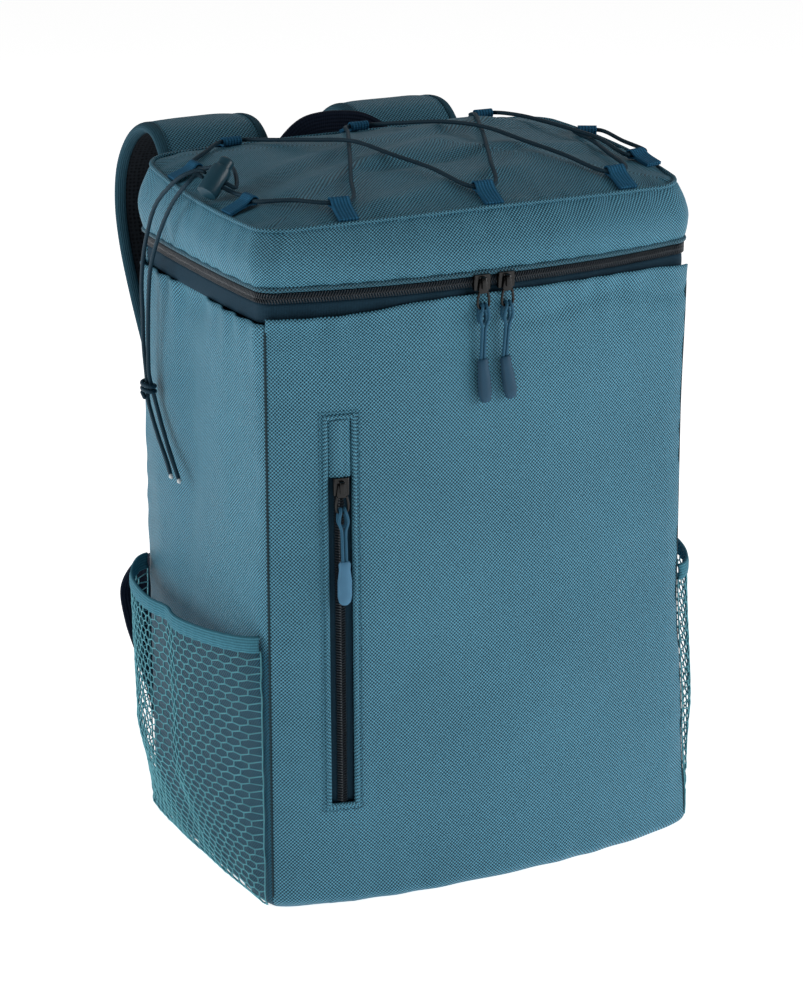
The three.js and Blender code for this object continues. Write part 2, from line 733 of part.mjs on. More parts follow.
// The loop of cord through the tab's lower hole, and the moulded end that holds its two ends.
function pullCordPoints(lean) {
  const bar = tabTop - tabLength + tabBar / 2;
  const reach = (tabThickness + pullCordDiameter) / 2 + 0.35;
  const low = bar - pullCordDrop;
  const apart = pullCordDiameter / 2 + 0.4;
  const shift = (share) => lean * share;
  const points = [
    [-apart, -reach * 0.4, low], [-apart, -reach * 0.5, mix(low, bar, 0.35)],
    [-apart * 0.6, -reach * 0.8, mix(low, bar, 0.65)], [-0.3, -reach, mix(low, bar, 0.9)],
    [0, -reach, bar + 0.6], [0, -reach * 0.62, bar + reach * 0.95], [0, 0, bar + reach * 1.3],
    [0, reach * 0.62, bar + reach * 0.95], [0, reach, bar + 0.6],
    [0.3, reach, mix(low, bar, 0.9)], [apart * 0.6, reach * 0.8, mix(low, bar, 0.65)],
    [apart, reach * 0.1, mix(low, bar, 0.35)], [apart, -reach * 0.4, low],
  ];
  return points.map(([x, y, z]) => {
    return new THREE.Vector3(x + shift((bar - z) / pullCordDrop), y - tabDepth, z);
  });
}

function pullEndGeometry(lean, tilt) {
  const r = pullEndWidth / 2;
  const profile = [
    [0, 0], [r * 0.62, 0], [r * 0.86, -pullEndLength * 0.06], [r * 0.8, -pullEndLength * 0.2],
    [r, -pullEndLength * 0.45], [r, -pullEndLength * 0.8], [r * 0.8, -pullEndLength * 0.94],
    [r * 0.4, -pullEndLength], [0, -pullEndLength],
  ];
  const outline = profile.map(([x, z]) => new THREE.Vector2(x, z));
  const geometry = new THREE.LatheGeometry(outline, 8);
  geometry.deleteAttribute("normal");
  geometry.deleteAttribute("uv");
  const low = tabTop - tabLength + tabBar / 2 - pullCordDrop - 2.5 * gap;
  const reach = (tabThickness + pullCordDiameter) / 2 + 0.35;
  const round = mergeVertices(geometry.rotateX(Math.PI / 2), 1e-4);
  const flat = round.scale(1, pullEndThickness / pullEndWidth, 1);
  const turned = flat.rotateY(THREE.MathUtils.degToRad(-tilt));
  const whole = turned.translate(lean, -tabDepth - reach * 0.4, low);
  return closedGeometry([...whole.attributes.position.array], withoutSlivers(whole));
}

// Triangles of a merged turned body whose three corners differ.
function withoutSlivers(geometry) {
  const kept = [];
  const index = geometry.index.array;
  for (let k = 0; k < index.length; k += 3) {
    const [a, b, c] = [index[k], index[k + 1], index[k + 2]];
    if (a !== b && b !== c && c !== a) kept.push(a, b, c);
  }
  return kept;
}

// Everything on a zip pull is turned with the front panel's swelling at that place.
function zipPull(prefix, [x, z], inset, plate, [lean, tilt], endFinish) {
  const [left, right] = [frontAt(x - 4, z, inset), frontAt(x + 4, z, inset)];
  const frame = new THREE.Matrix4().makeRotationZ(Math.atan2(right[1] - left[1], 8));
  frame.setPosition(x, Math.min(frontAt(x, z, inset)[1], (left[1] + right[1]) / 2), z);
  add(`${prefix}_slider`, sliderGeometry(...plate), "metal", frame);
  add(`${prefix}_tab`, tabGeometry(), "metal", frame);
  const cord = tube(pullCordPoints(lean), pullCordDiameter, 6);
  add(`${prefix}_pull_cord`, cord, "lace", frame);
  add(`${prefix}_pull_end`, pullEndGeometry(lean, tilt), endFinish, frame);
}

function zipPulls() {
  const coilMiddle = bodyHeight + coilBottom + coilWidth / 2;
  const across = [sliderLength, sliderWidth];
  const hangs = [["main_left", -1, [-0.7, 5]], ["main_right", 1, [-1.8, 10]]];
  for (const [prefix, hand, hang] of hangs) {
    const x = slidersFromMiddle + (hand * sliderSpacing) / 2;
    const inset = tapeRecess - 1 - sliderClearance;
    zipPull(prefix, [x, coilMiddle], inset, across, hang, "rubber");
  }
  const inset = pocketTapeRecess - gap - coilThickness - sliderClearance;
  const place = [slotMiddle, slotTop - pocketSliderDrop];
  zipPull("pocket", place, inset, [sliderWidth, sliderLength], [1, 0], "paleRubber");
}

// Net side pockets

// How far the net stands off the side panel: most in the middle of its width, with a pleat there.
function netStandOff(s, z) {
  const across = Math.max(0, 4 * s * (1 - s));
  const up = Math.min(1, z / (netTop * 0.45)) ** 0.8;
  const pleat = 0.16 * Math.exp(-(((s - 0.45) / 0.07) ** 2));
  return netClearance + netBulge * up * (across ** 0.6 - pleat);
}

function netFace(outward, s, z, inset) {
  const share = mix(netEdgeInset, bodyDepth - netEdgeInset, s) / bodyDepth;
  const [x, y] = sideFace(outward, share, z, 0);
  const out = netStandOff(s, z) + netThickness * (1 - inset);
  return [x + outward * out, y, z];
}

// Grid lines in pairs, a narrow strand after each wide gap.
function netLines(from, to, gaps, strand) {
  const pitch = (to - from - strand) / gaps;
  const lines = [];
  for (let k = 0; k <= gaps; k += 1) lines.push(from + k * pitch, from + k * pitch + strand);
  return lines;
}

function netPockets() {
  for (const [hand, outward] of [["left", -1], ["right", 1]]) {
    const us = netLines(0, 1, 7, netStrand / bodyDepth);
    const vs = netLines(gap, netTop, 4, netStrand);
    const keep = (i, j) => i % 2 === 0 || j % 2 === 0;
    const net = (u, v, inset) => netFace(outward, u, v, inset);
    add(`net_pocket_${hand}`, wall(net, us, vs, { keep }), "net");
    const binding = (u, v, inset) => {
      const sag = bindingSag * (4 * u * (1 - u));
      const [x, y] = netFace(outward, u, netTop, 0);
      const z = netTop + gap + v * bindingHeight - sag * v * 0.2;
      return [x + outward * (0.5 - inset * bindingThickness), y, z];
    };
    add(`pocket_binding_${hand}`, wall(binding, gridLines(0, 1, 14), [0, 1]), "elastic");
  }
}

// Lace over the lid

// The frame of a loop: its foot at the seam, the middle of its eye, and the way the lace runs.
function loopFrame({ side, at, turn = 0 }) {
  const shape = lidShape(1);
  const inset = turn ? loopWidth / 2 : loopInset;
  const foot = new THREE.Vector3(...rim(side, at, shape, inset), 0);
  const ahead = new THREE.Vector3(...rim(side, at + 0.05, shape, inset), 0);
  const up = new THREE.Vector3(0, 0, 1);
  const along = ahead.sub(foot).normalize().applyAxisAngle(up, THREE.MathUtils.degToRad(turn));
  const inward = new THREE.Vector3(-along.y, along.x, 0);
  const eye = foot.clone().addScaledVector(inward, loopReach);
  const highest = (place) => Math.max(...[-0.5, 0, 0.5].map((share) => {
    const under = place.clone().addScaledVector(along, share * loopWidth);
    return lidHeight(under.x, under.y);
  }));
  foot.z = highest(foot) + loopCloth + gap;
  eye.z = highest(eye) + laceDiameter / 2 + loopCloth + 1;
  return { foot, eye, along, inward };
}

function loopGeometry({ foot, eye, along }, hole, cloth, width) {
  const reach = foot.distanceTo(eye);
  const outer = hole + cloth;
  const outline = new THREE.Shape();
  outline.moveTo(0, -cloth);
  outline.lineTo(reach - outer * 1.5, -cloth);
  for (let k = 0; k <= 6; k += 1) {
    const turn = mix(-0.7, 0.7, k / 6) * Math.PI;
    outline.lineTo(reach + outer * Math.cos(turn), outer * Math.sin(turn));
  }
  outline.lineTo(reach - outer * 1.5, cloth);
  outline.lineTo(0, cloth);
  const folded = new THREE.ExtrudeGeometry(outline, { depth: width, bevelEnabled: false });
  folded.translate(0, 0, -width / 2);
  const eyelet = new THREE.CylinderGeometry(hole, hole, width * 2, 8);
  const geometry = pierced(folded, eyelet.rotateX(Math.PI / 2).translate(reach, 0, 0));
  const forward = eye.clone().sub(foot).normalize();
  const up = new THREE.Vector3().crossVectors(along, forward);
  const place = new THREE.Matrix4().makeBasis(forward, up, along.clone());
  return { geometry, place: place.setPosition(foot) };
}

function crossingInPlan(a, b, c, d) {
  const ab = b.clone().sub(a);
  const cd = d.clone().sub(c);
  const across = ab.x * cd.y - ab.y * cd.x;
  const share = ((c.x - a.x) * cd.y - (c.y - a.y) * cd.x) / across;
  return a.clone().addScaledVector(ab, share);
}

// One span of the lace, pulled tight over the lid's cloth: the upper hull of what lies beneath it.
// A strand to cross is one more thing beneath it, given by its place.
function laceSpan(from, to, crossed) {
  const length = Math.hypot(to.x - from.x, to.y - from.y);
  const beneath = [{ share: 0, z: from.z }];
  for (let k = 1; k < 24; k += 1) {
    const point = from.clone().lerp(to, k / 24);
    beneath.push({ share: k / 24, z: lidHeight(point.x, point.y) + laceDiameter / 2 + laceClearance });
  }
  if (crossed) {
    const share = Math.hypot(crossed.x - from.x, crossed.y - from.y) / length;
    for (const side of [-0.02, 0.02]) {
      beneath.push({ share: share + side, z: crossed.z + laceDiameter + 0.5 });
    }
    beneath.sort((a, b) => a.share - b.share);
  }
  beneath.push({ share: 1, z: to.z });
  const hull = [];
  for (const next of beneath) {
    const bends = (a, b) => (b.z - a.z) * (next.share - a.share) <= (next.z - a.z) * (b.share - a.share);
    while (hull.length > 1 && bends(hull[hull.length - 2], hull[hull.length - 1])) hull.pop();
    hull.push(next);
  }
  const height = (share) => {
    const k = Math.max(1, hull.findIndex((point) => point.share >= share));
    const [a, b] = [hull[k - 1], hull[k]];
    return mix(a.z, b.z, (share - a.share) / (b.share - a.share));
  };
  return { from, to, length, height };
}

function spanPoints({ from, to, length, height }) {
  const steps = Math.max(2, Math.round(length / 26));
  const shares = Array.from({ length: steps - 1 }, (_, k) => (k + 1) / steps);
  return shares.map((share) => from.clone().lerp(to, share).setZ(height(share)));
}

// Where two spans cross in plan, at the height of the lower one.
function crossingPlace(above, below) {
  const place = crossingInPlan(above.from, above.to, below.from, below.to);
  const share = Math.hypot(place.x - below.from.x, place.y - below.from.y) / below.length;
  return place.setZ(below.height(share));
}

const lockBoreAt = 0.5;

// Where a strand leaves the lock: hand -1 or 1 picks the strand, out the side of the barrel.
function lockMouth(hand, out) {
  const apart = laceDiameter / 2 + 0.35;
  return cordLockPlace.clone()
    .addScaledVector(cordLockAxis, lockBoreAt + hand * apart)
    .addScaledVector(lockWay, out);
}

const lockWay = new THREE.Vector3(0.8, -0.5, -0.1).projectOnPlane(cordLockAxis).normalize();

function laceParts() {
  const frames = laceLoops.map(loopFrame);
  frames.forEach((frame, k) => {
    const hole = laceDiameter / 2 + 0.6;
    const { geometry, place } = loopGeometry(frame, hole, loopCloth, loopWidth);
    add(`lace_loop_${laceLoops[k].name}`, geometry, "elastic", place);
  });
  const half = loopWidth / 2 + 2;
  const mouth = lockDiameter / 2 + 1;
  const stops = [cordLockPlace, ...frames.map(({ eye }) => eye), cordLockPlace];
  const passes = frames.map(({ eye, along }, k) => {
    const forward = Math.sign(stops[k + 2].clone().sub(stops[k]).dot(along));
    const ends = [-1, 1].map((end) => eye.clone().addScaledVector(along, end * forward * half));
    return { enter: ends[0], eye, leave: ends[1] };
  });
  const loose = passes.slice(1).map((pass, k) => laceSpan(passes[k].leave, pass.enter));
  const spans = loose.map((span, k) => {
    const crossing = laceCrossings.find(({ over }) => over === k);
    return crossing ? laceSpan(span.from, span.to, crossingPlace(span, loose[crossing.under])) : span;
  });
  const points = [lockMouth(-1, 0), lockMouth(-1, mouth), lockMouth(-1, mouth + 5)];
  passes.forEach(({ enter, eye, leave }, k) => {
    points.push(enter, eye, leave);
    if (spans[k]) points.push(...spanPoints(spans[k]));
  });
  points.push(roundLock, lockMouth(1, mouth + 5), lockMouth(1, mouth), lockMouth(1, 0));
  add("lace_cord", tube(points, laceDiameter, 6), "lace");
}

// Cord lock: a barrel with a cross bore and a spring plunger whose slot the lace runs through.

function lockMatrix() {
  const side = new THREE.Vector3().crossVectors(lockWay, cordLockAxis);
  const place = new THREE.Matrix4().makeBasis(lockWay, cordLockAxis, side);
  return place.setPosition(cordLockPlace);
}

// Both lock pieces are turned about Y, with the bore for the two strands along X.
function bore(width, height, length) {
  return box(length, height, width, 0, lockBoreAt, 0);
}

function turned(profile, sides) {
  const outline = profile.map(([x, y]) => new THREE.Vector2(x, y));
  const geometry = new THREE.LatheGeometry(outline, sides);
  geometry.deleteAttribute("normal");
  geometry.deleteAttribute("uv");
  const whole = mergeVertices(geometry, 1e-4);
  return closedGeometry([...whole.attributes.position.array], withoutSlivers(whole));
}

function cordLock() {
  const r = lockDiameter / 2;
  const top = lockLength / 2;
  const plungerRadius = r - lockWall - gap;
  const strands = 2 * (laceDiameter + 0.7);
  const foot = lockBoreAt - strands / 2 - 1.2;
  const barrel = turned([
    [0, -top], [r * 0.94, -top], [r, -top + 1.5], [r, top - 3], [r * 0.9, top],
    [r - lockWall, top], [r - lockWall, foot - plungerTravel - 0.5],
    [0, foot - plungerTravel - 0.5],
  ], 14);
  const mouth = bore(laceDiameter + 0.8, strands, lockDiameter * 2);
  add("cord_lock_barrel", pierced(barrel, mouth), "plastic", lockMatrix());
  const head = top + plungerProud;
  const plunger = turned([
    [0, foot], [plungerRadius, foot], [plungerRadius, head - 1.2], [plungerRadius * 0.8, head],
    [0, head],
  ], 12);
  const slot = bore(laceDiameter + 1, strands + plungerTravel, lockDiameter * 2);
  slot.translate(0, plungerTravel / 2, 0);
  add("cord_lock_plunger", pierced(plunger, slot), "plastic", lockMatrix());
}

// Loose ends of the lace

function tails() {
  const mouth = -lockDiameter / 2 - gap;
  for (const [strand, hand] of [["a", 1], ["b", -1]]) {
    const start = [lockMouth(hand, mouth), lockMouth(hand, mouth - 4)];
    const route = [...start, ...tailRoutes[strand].map(besideLid)];
    add(`tail_${strand}_upper`, tube(route, tailDiameter), "lace");
    add(`tail_${strand}_lower`, tube(tailEnds[strand].map(besideLid), tailDiameter), "lace");
  }
  const knot = new THREE.SphereGeometry(knotWidth / 2, 8, 6);
  knot.deleteAttribute("normal");
  knot.deleteAttribute("uv");
  const round = mergeVertices(knot.rotateX(Math.PI / 2), 1e-4);
  round.scale(1, 1, knotHeight / knotWidth);
  const place = new THREE.Matrix4().setPosition(tailKnotPlace);
  const body = closedGeometry([...round.attributes.position.array], withoutSlivers(round));
  add("tail_knot", body, "lace", place);
}

// Shoulder straps, ladder locks, webbing and grab handle

function coursePoint({ back, up }) {
  return new THREE.Vector3(0, halfDepth + back * bodyDepth, up * bodyHeight);
}

// A strip that follows a course in side view, its width lying across the bag.
function strip(points, middle, width, thickness, taper, finer, columns) {
  const curve = new Route(points);
  const steps = (points.length - 1) * finer;
  const face = (across, share, inset) => {
    const point = curve.getPoint(share);
    const ahead = curve.getTangent(share).normalize();
    const off = (0.5 - inset) * thickness;
    const half = (width / 2) * mix(1, taper, share);
    return [middle(share) + across * half, point.y - ahead.z * off, point.z + ahead.y * off];
  };
  return wall(face, gridLines(-1, 1, columns), gridLines(0, 1, steps));
}

// The ladder lock hangs below the strap's end, tied to it by a short loop round its top bar.
function strapEnd(middle) {
  const curve = new THREE.CatmullRomCurve3(strapCourse.map(coursePoint));
  const ahead = curve.getTangentAt(1);
  const inward = new THREE.Vector3(0, ahead.z, -ahead.y);
  const eye = curve.getPointAt(1).addScaledVector(ahead, 5.4);
  eye.addScaledVector(inward, strapThickness / 2 + keeperCloth + 2.5 * gap);
  eye.x = middle;
  const foot = eye.clone().addScaledVector(ahead, -keeperReach);
  return { eye, foot, along: new THREE.Vector3(1, 0, 0) };
}

const ladderBar = (ladderLockHeight - 2 * ladderLockSlot) / 3;

function ladderLock({ eye }) {
  const slotWide = webbingWidth + 1.6;
  const plate = box(ladderLockWidth, ladderLockThickness, ladderLockHeight, 0, 0, 0);
  const slots = [-1, 1].map((hand) => {
    const z = (hand * (ladderLockSlot + ladderBar)) / 2;
    return box(slotWide, ladderLockThickness * 3, ladderLockSlot, 0, 0, z);
  });
  const z = eye.z - (ladderLockHeight - ladderBar) / 2;
  return [pierced(plate, ...slots), new THREE.Matrix4().setPosition(eye.x, eye.y, z), z];
}

// Points of the webbing as it comes through the lock's lower slot, then down its course.
function webbingPoints(y, z) {
  const slot = z - (ladderLockSlot + ladderBar) / 2;
  const off = (ladderLockThickness + webbingThickness) / 2 + 0.9;
  const threaded = [
    [-off, slot + 9], [-off, slot + 3.8], [0, slot], [off, slot - 3.8], [off + 3, slot - 14],
  ];
  const points = threaded.map(([dy, height]) => new THREE.Vector3(0, y + dy, height));
  return [...points, ...webbingCourse.map(coursePoint)];
}

function carrying() {
  const places = [["left", -1, leftStrapInset], ["right", 1, rightStrapInset]];
  for (const [hand, outward, fromEdge] of places) {
    const centre = outward * (halfWidth - fromEdge);
    const points = strapCourse.map(coursePoint);
    const strap = strip(points, () => centre, strapWidth, strapThickness, strapTaper, 2, 2);
    add(`shoulder_strap_${hand}`, strap, "fabric");
    const end = strapEnd(centre);
    const keeper = loopGeometry(end, ladderLockThickness * 0.86, keeperCloth, webbingWidth - 1);
    add(`strap_keeper_${hand}`, keeper.geometry, "webbing", keeper.place);
    const [lock, place, z] = ladderLock(end);
    add(`ladder_lock_${hand}`, lock, "plastic", place);
    const corner = outward * (halfWidth - webbingFootInset) - centre;
    const spread = (share) => centre + corner * Math.max(0, (share - 0.25) / 0.75);
    const route = webbingPoints(end.eye.y, z);
    const webbing = strip(route, spread, webbingWidth, webbingThickness, 1, 2, 1);
    add(`lower_webbing_${hand}`, webbing, "webbing");
  }
  const points = handleCourse.map(({ across, up }) => {
    return new THREE.Vector3(across * halfWidth, 0, lidSeam + up * lidRim);
  });
  const curve = new THREE.CatmullRomCurve3(points, false, "catmullrom", 0.3);
  const behind = halfDepth + swelling(lidBottom, "back") * bodyDepth + 4.2 + handleClearance;
  const face = (across, share, inset) => {
    const point = curve.getPointAt(share);
    const ahead = curve.getTangentAt(share);
    const half = (across * handleWidth) / 2;
    const y = behind + (1 - inset) * handleThickness;
    return [point.x - ahead.z * half, y, point.z + ahead.x * half];
  };
  add("grab_handle", wall(face, [-1, 1], gridLines(0, 1, 14)), "webbing");
}

bodyPanels();
basePanel();
mainZip();
lidBand();
lidTop();
frontPocket();
zipPulls();
netPockets();
laceParts();
cordLock();
tails();
carrying();

export default bag;
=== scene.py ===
import math

import bmesh
import bpy
import numpy as np
from mathutils import Matrix, Vector, noise


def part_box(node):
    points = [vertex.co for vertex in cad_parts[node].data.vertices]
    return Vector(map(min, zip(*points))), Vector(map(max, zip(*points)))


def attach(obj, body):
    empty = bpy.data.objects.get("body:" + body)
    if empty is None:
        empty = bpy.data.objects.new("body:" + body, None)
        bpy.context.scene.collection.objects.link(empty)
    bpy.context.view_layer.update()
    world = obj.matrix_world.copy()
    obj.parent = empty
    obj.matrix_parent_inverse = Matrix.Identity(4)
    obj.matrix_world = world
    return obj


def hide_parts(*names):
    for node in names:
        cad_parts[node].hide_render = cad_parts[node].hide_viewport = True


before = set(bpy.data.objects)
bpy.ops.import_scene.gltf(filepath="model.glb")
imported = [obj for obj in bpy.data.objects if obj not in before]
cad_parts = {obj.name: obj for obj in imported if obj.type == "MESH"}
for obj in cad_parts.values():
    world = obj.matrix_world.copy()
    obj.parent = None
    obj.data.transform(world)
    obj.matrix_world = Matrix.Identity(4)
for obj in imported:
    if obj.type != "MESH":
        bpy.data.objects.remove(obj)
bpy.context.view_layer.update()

bl_info = {
    "name": "Cooler backpack",
    "version": (1, 0, 0),
    "blender": (4, 5, 0),
    "location": "3D View > Sidebar > Backpack",
    "description": "Builds a cooler backpack's cloth, zips, lace and straps round its frame",
    "category": "Object",
}

MM = 0.001
BAG = "bag"

# Plan arcs at the corners over the body: share of a half side, and radius at the main zip.
ARC_SHARE = 0.16
CORNER_RADIUS = 13 * MM
# Height over which the panels' feet are rounded.
FOOT = 6 * MM

# The photograph's camera, solved on the bag's edges: degrees and metres.
LENS = 118.94
CAMERA_PLACE = (-0.8544, -1.6935, 0.8164)
AZIMUTH, ELEVATION, ROLL = -26.646, 17.846, -0.114

# Soft lights: name, place, target, size, power in watts.
LIGHTS = (
    ("key", (-1.9, 0.55, 0.8), (0, 0, 0.2), 1.2, 19),
    ("fill", (1.8, -1.4, 0.8), (0, 0, 0.2), 1.2, 26),
    ("top", (0.1, 0.5, 2.2), (0, 0, 0.3), 1.4, 3),
    ("rim", (0.9, 1.6, 1.4), (0, 0, 0.3), 1.0, 3),
)
# Tones that no one would change, and the share of red, green and blue kept in the painted shade
# that darkens the side cloth behind the nets.
# The seam thread's near black is partly the seam's own colour and partly painted shade for the
# narrow grooves at the body's corners.
SEAM_THREAD_AND_GROOVE_SHADE = (0.008, 0.03, 0.042)
FUSED_TIP = (0.62, 0.66, 0.68)
PAINTED_NET_SHADE = (0.1, 0.36, 0.42)

FLOOR_GLOW = 0.84
WORLD_GLOW = 0.12

# Share of the body's height, swelling of front, side and back as shares of its depth, and how
# far the right side leans out as a share of its width.
BODY_SWELLING = np.array([
    (0.0, 0.1, 0.008, 0.01, 0.05),
    (0.2, 0.105, 0.02, 0.02, 0.034),
    (0.45, 0.1, 0.03, 0.025, 0.014),
    (0.75, 0.09, 0.022, 0.02, 0.013),
    (1.0, 0.083, 0.012, 0.01, 0.02),
    (1.3, 0.083, 0.012, 0.01, 0.026),
])
FRONT, SIDE, BACK, FLARE = 1, 2, 3, 4

# Dents in the side cloth: along and up as shares, their spreads, and the depth as a share.
SIDE_DENTS = (
    (0.02, 0.985, 0.34, 0.035, 0.024),
    (-0.45, 0.72, 0.2, 0.22, -0.011),
    (0.1, 0.75, 0.18, 0.26, 0.014),
    (0.62, 0.6, 0.2, 0.25, -0.009),
)

# Ridges over the lid: from and to as shares of the half width and depth, spread, height share.
LID_FOLDS = (
    ((-0.75, -0.1), (0.5, 0.42), 0.11, 0.2),
    ((-0.85, -0.55), (0.25, 0.02), 0.12, 0.24),
    ((-0.55, -0.92), (0.35, -0.55), 0.1, 0.16),
    ((0.1, -0.28), (0.85, -0.2), 0.13, 0.18),
    ((0.35, 0.62), (0.95, 0.35), 0.12, 0.14),
    ((-0.4, -0.38), (0.55, -0.3), 0.07, -0.16),
)

# Loops for the lace: name, foot at the seam and middle of the eye in millimetres, way of the lace.
LACE_LOOPS = (
    ("left_front", (-131.2, -37.5, 404.7), (-117.7, -37.0, 410.6), (0.035, -0.999, 0.000)),
    ("front_left", (-81.0, -87.3, 405.9), (-80.2, -73.8, 412.6), (0.998, -0.062, 0.000)),
    ("back_middle", (3.4, 86.3, 415.9), (3.4, 72.8, 421.1), (-1.000, -0.000, 0.000)),
    ("front_right", (98.0, -86.3, 405.7), (96.9, -72.8, 413.1), (0.997, 0.082, 0.000)),
    ("right_back", (133.9, 24.5, 415.4), (127.4, 12.6, 417.9), (-0.876, 0.482, 0.000)),
    ("right_front", (132.7, -55.5, 409.9), (129.3, -42.4, 414.0), (0.967, 0.255, 0.000)),
    ("back_right", (88.1, 85.4, 415.3), (87.8, 71.9, 421.1), (-1.000, 0.023, 0.000)),
    ("front_middle", (8.9, -89.5, 406.4), (8.9, -76.0, 413.5), (1.000, 0.004, 0.000)),
    ("back_left", (-81.0, 85.5, 415.1), (-80.7, 72.0, 419.8), (-1.000, -0.025, 0.000)),
    ("left_back", (-131.0, 40.8, 409.0), (-117.5, 40.3, 414.4), (-0.034, -0.999, 0.000)),
)

# Route of the lace over the lid in millimetres, from the cord lock round to the cord lock.
LACE_ROUTE = (
    (-127.7, -9.3, 415.3), (-123.1, -14.1, 412.5), (-119.9, -17.5, 410.7), (-117.9, -29.3, 410.6),
    (-117.7, -37.0, 410.6), (-117.4, -44.8, 410.6), (-102.7, -59.1, 412.7), (-87.9, -73.3, 412.6),
    (-80.2, -73.8, 412.6), (-72.5, -74.3, 412.6), (-61.1, -49.8, 418.5), (-49.7, -25.3, 424.0),
    (-38.4, -0.7, 426.0), (-27.0, 23.8, 426.2), (-15.7, 48.3, 424.0), (-4.3, 72.8, 421.1),
    (3.4, 72.8, 421.1), (11.2, 72.8, 421.1), (24.2, 48.4, 425.6), (37.2, 24.0, 429.2),
    (50.2, -0.3, 429.4), (63.2, -24.7, 424.6), (76.2, -49.1, 419.5), (89.2, -73.5, 413.1),
    (96.9, -72.8, 413.1), (104.6, -72.2, 413.1), (109.9, -42.7, 416.2), (115.3, -13.2, 418.0),
    (120.6, 16.4, 417.9), (127.4, 12.6, 417.9), (134.2, 8.9, 417.9), (135.5, -15.8, 415.9),
    (136.8, -40.4, 414.0), (129.3, -42.4, 414.0), (121.8, -44.4, 414.0), (116.5, -21.2, 419.9),
    (111.3, 2.1, 421.7), (106.1, 25.3, 422.7), (100.8, 48.5, 423.0), (95.6, 71.7, 421.1),
    (87.8, 71.9, 421.1), (80.1, 72.1, 421.1), (69.5, 47.4, 426.5), (58.9, 22.7, 426.9),
    (48.4, -1.9, 426.3), (37.8, -26.6, 424.3), (27.2, -51.3, 420.8), (16.6, -76.0, 413.5),
    (8.9, -76.0, 413.5), (1.1, -76.0, 413.5), (-11.2, -51.3, 420.5), (-23.6, -26.6, 424.8),
    (-35.9, -1.9, 429.1), (-48.3, 22.8, 426.6), (-60.6, 47.5, 423.2), (-72.9, 72.2, 419.8),
    (-80.7, 72.0, 419.8), (-88.4, 71.8, 419.8), (-102.9, 59.9, 417.5), (-117.3, 48.1, 414.4),
    (-117.5, 40.3, 414.4), (-117.8, 32.6, 414.4), (-110.0, 6.0, 420.0), (-117.7, -16.6, 412.8),
    (-120.9, -13.3, 414.7), (-125.6, -8.4, 417.4),
)

# Loose ends of the lace in millimetres, from the cord lock's mouth to the tips.
TAIL_ROUTES = {
    "a": (
        (-129.8, -4.0, 419.9), (-132.3, -1.4, 421.4), (-140, 5, 418), (-145, 16, 409),
        (-147, 31, 396), (-147.5, 42, 379), (-147.5, 50, 362), (-147, 55, 344), (-146, 57, 326),
        (-146, 57, 307), (-146, 54, 290), (-146.3, 52, 282), (-146.5, 51, 275), (-146.5, 45, 266),
        (-147, 34, 255), (-147.5, 22, 245), (-148, 15, 238),
    ),
    "b": (
        (-131.9, -4.9, 417.7), (-134.5, -2.2, 419.2), (-141, -3, 415), (-145, 7, 404),
        (-147, 19, 389), (-147.5, 31, 372), (-147.5, 40, 356), (-146.5, 46, 339),
        (-146, 49, 322), (-146, 50, 305), (-146, 49.5, 290), (-144.6, 48.5, 282),
        (-143.5, 47, 275), (-143.5, 40, 265), (-144, 29, 253), (-144.5, 18, 243),
        (-145, 10, 236),
    ),
}
TAIL_KNOT = (-146, 51, 282.5)

# Side view of the straps and webbing in millimetres: back from the bag's middle, and up.
STRAP_COURSE = tuple((90 + 180 * back, 351 * up) for back, up in (
    (0.048, 0.94), (0.07, 1.01), (0.1, 1.08), (0.135, 1.145), (0.22, 1.184), (0.34, 1.185),
    (0.47, 1.15), (0.565, 1.09), (0.595, 1.02), (0.57, 0.95), (0.5, 0.87), (0.4, 0.78),
    (0.29, 0.69), (0.21, 0.61),
))
WEBBING_COURSE = (
    (116.3, 204.2), (116.3, 199.0), (119.8, 195.2), (123.2, 191.4), (126.2, 181.2),
    (144.0, 150.9), (176.4, 133.4), (203.4, 115.8), (210.6, 100.0), (194.4, 84.2),
    (162.0, 66.7), (129.6, 43.9), (108.0, 21.1), (99.9, 7.0),
)
# Straps: hand, middle of the pad in millimetres, way of the webbing's foot.
STRAPS = (("left", -72.0, -1), ("right", 58.0, 1))
# The handle as shares of the half width and of the lid's rim.
HANDLE_COURSE = (
    (-0.44, -0.95), (-0.3, -0.35), (-0.15, 0.25), (-0.08, 0.33), (0.08, 0.3), (0.16, 0.18),
    (0.31, -0.35), (0.44, -0.95),
)
# Pulls: name, body, sideways lean of the cord in millimetres, finish of the moulded end.
PULLS = (
    ("main_left", "main_left_pull", -0.7, "pull_end"),
    ("main_right", "main_right_pull", -1.8, "pull_end"),
    ("pocket", "pocket_pull", 1.0, "pale_pull_end"),
)
# Where each pull's bar lies in millimetres, and its turn about the upright in degrees.
PULL_PLACES = {
    "main_left": ((-7.45, -104.92, 365.55), -0.308),
    "main_right": ((7.85, -104.93, 365.55), 0.258),
    "pocket": ((-93.0, -99.58, 256.3), -10.14),
}
# Half of the cord in a pull's own millimetres, from its moulded end round the bar to the bight.
PULL_CORD = (
    (-1.05, -4.3, -44.5), (-1.05, -4.7, -36), (-1.05, -5.0, -28), (-1.3, -5.4, -24.5),
    (-2.5, -5.7, -20.5), (-2.3, -5.8, -17), (-1.4, -5.5, -14), (-1.1, -3.6, -12.3),
    (-1.4, -1.8, -14), (-2.2, -1.5, -17.5), (-2.3, -2.2, -20.5), (-1.4, -3.0, -22.6),
    (0, -3.2, -23.2),
)


def length(name, description, default):
    return bpy.props.FloatProperty(
        name=name, description=description, default=default, unit="LENGTH", precision=4)


def linear(code):
    parts = [((code >> shift) & 255) / 255 for shift in (16, 8, 0)]
    return tuple(c / 12.92 if c <= 0.04045 else ((c + 0.055) / 1.055) ** 2.4 for c in parts)


def colour(name, description, code):
    return bpy.props.FloatVectorProperty(
        name=name, description=description, default=linear(code), subtype="COLOR", min=0, max=1)


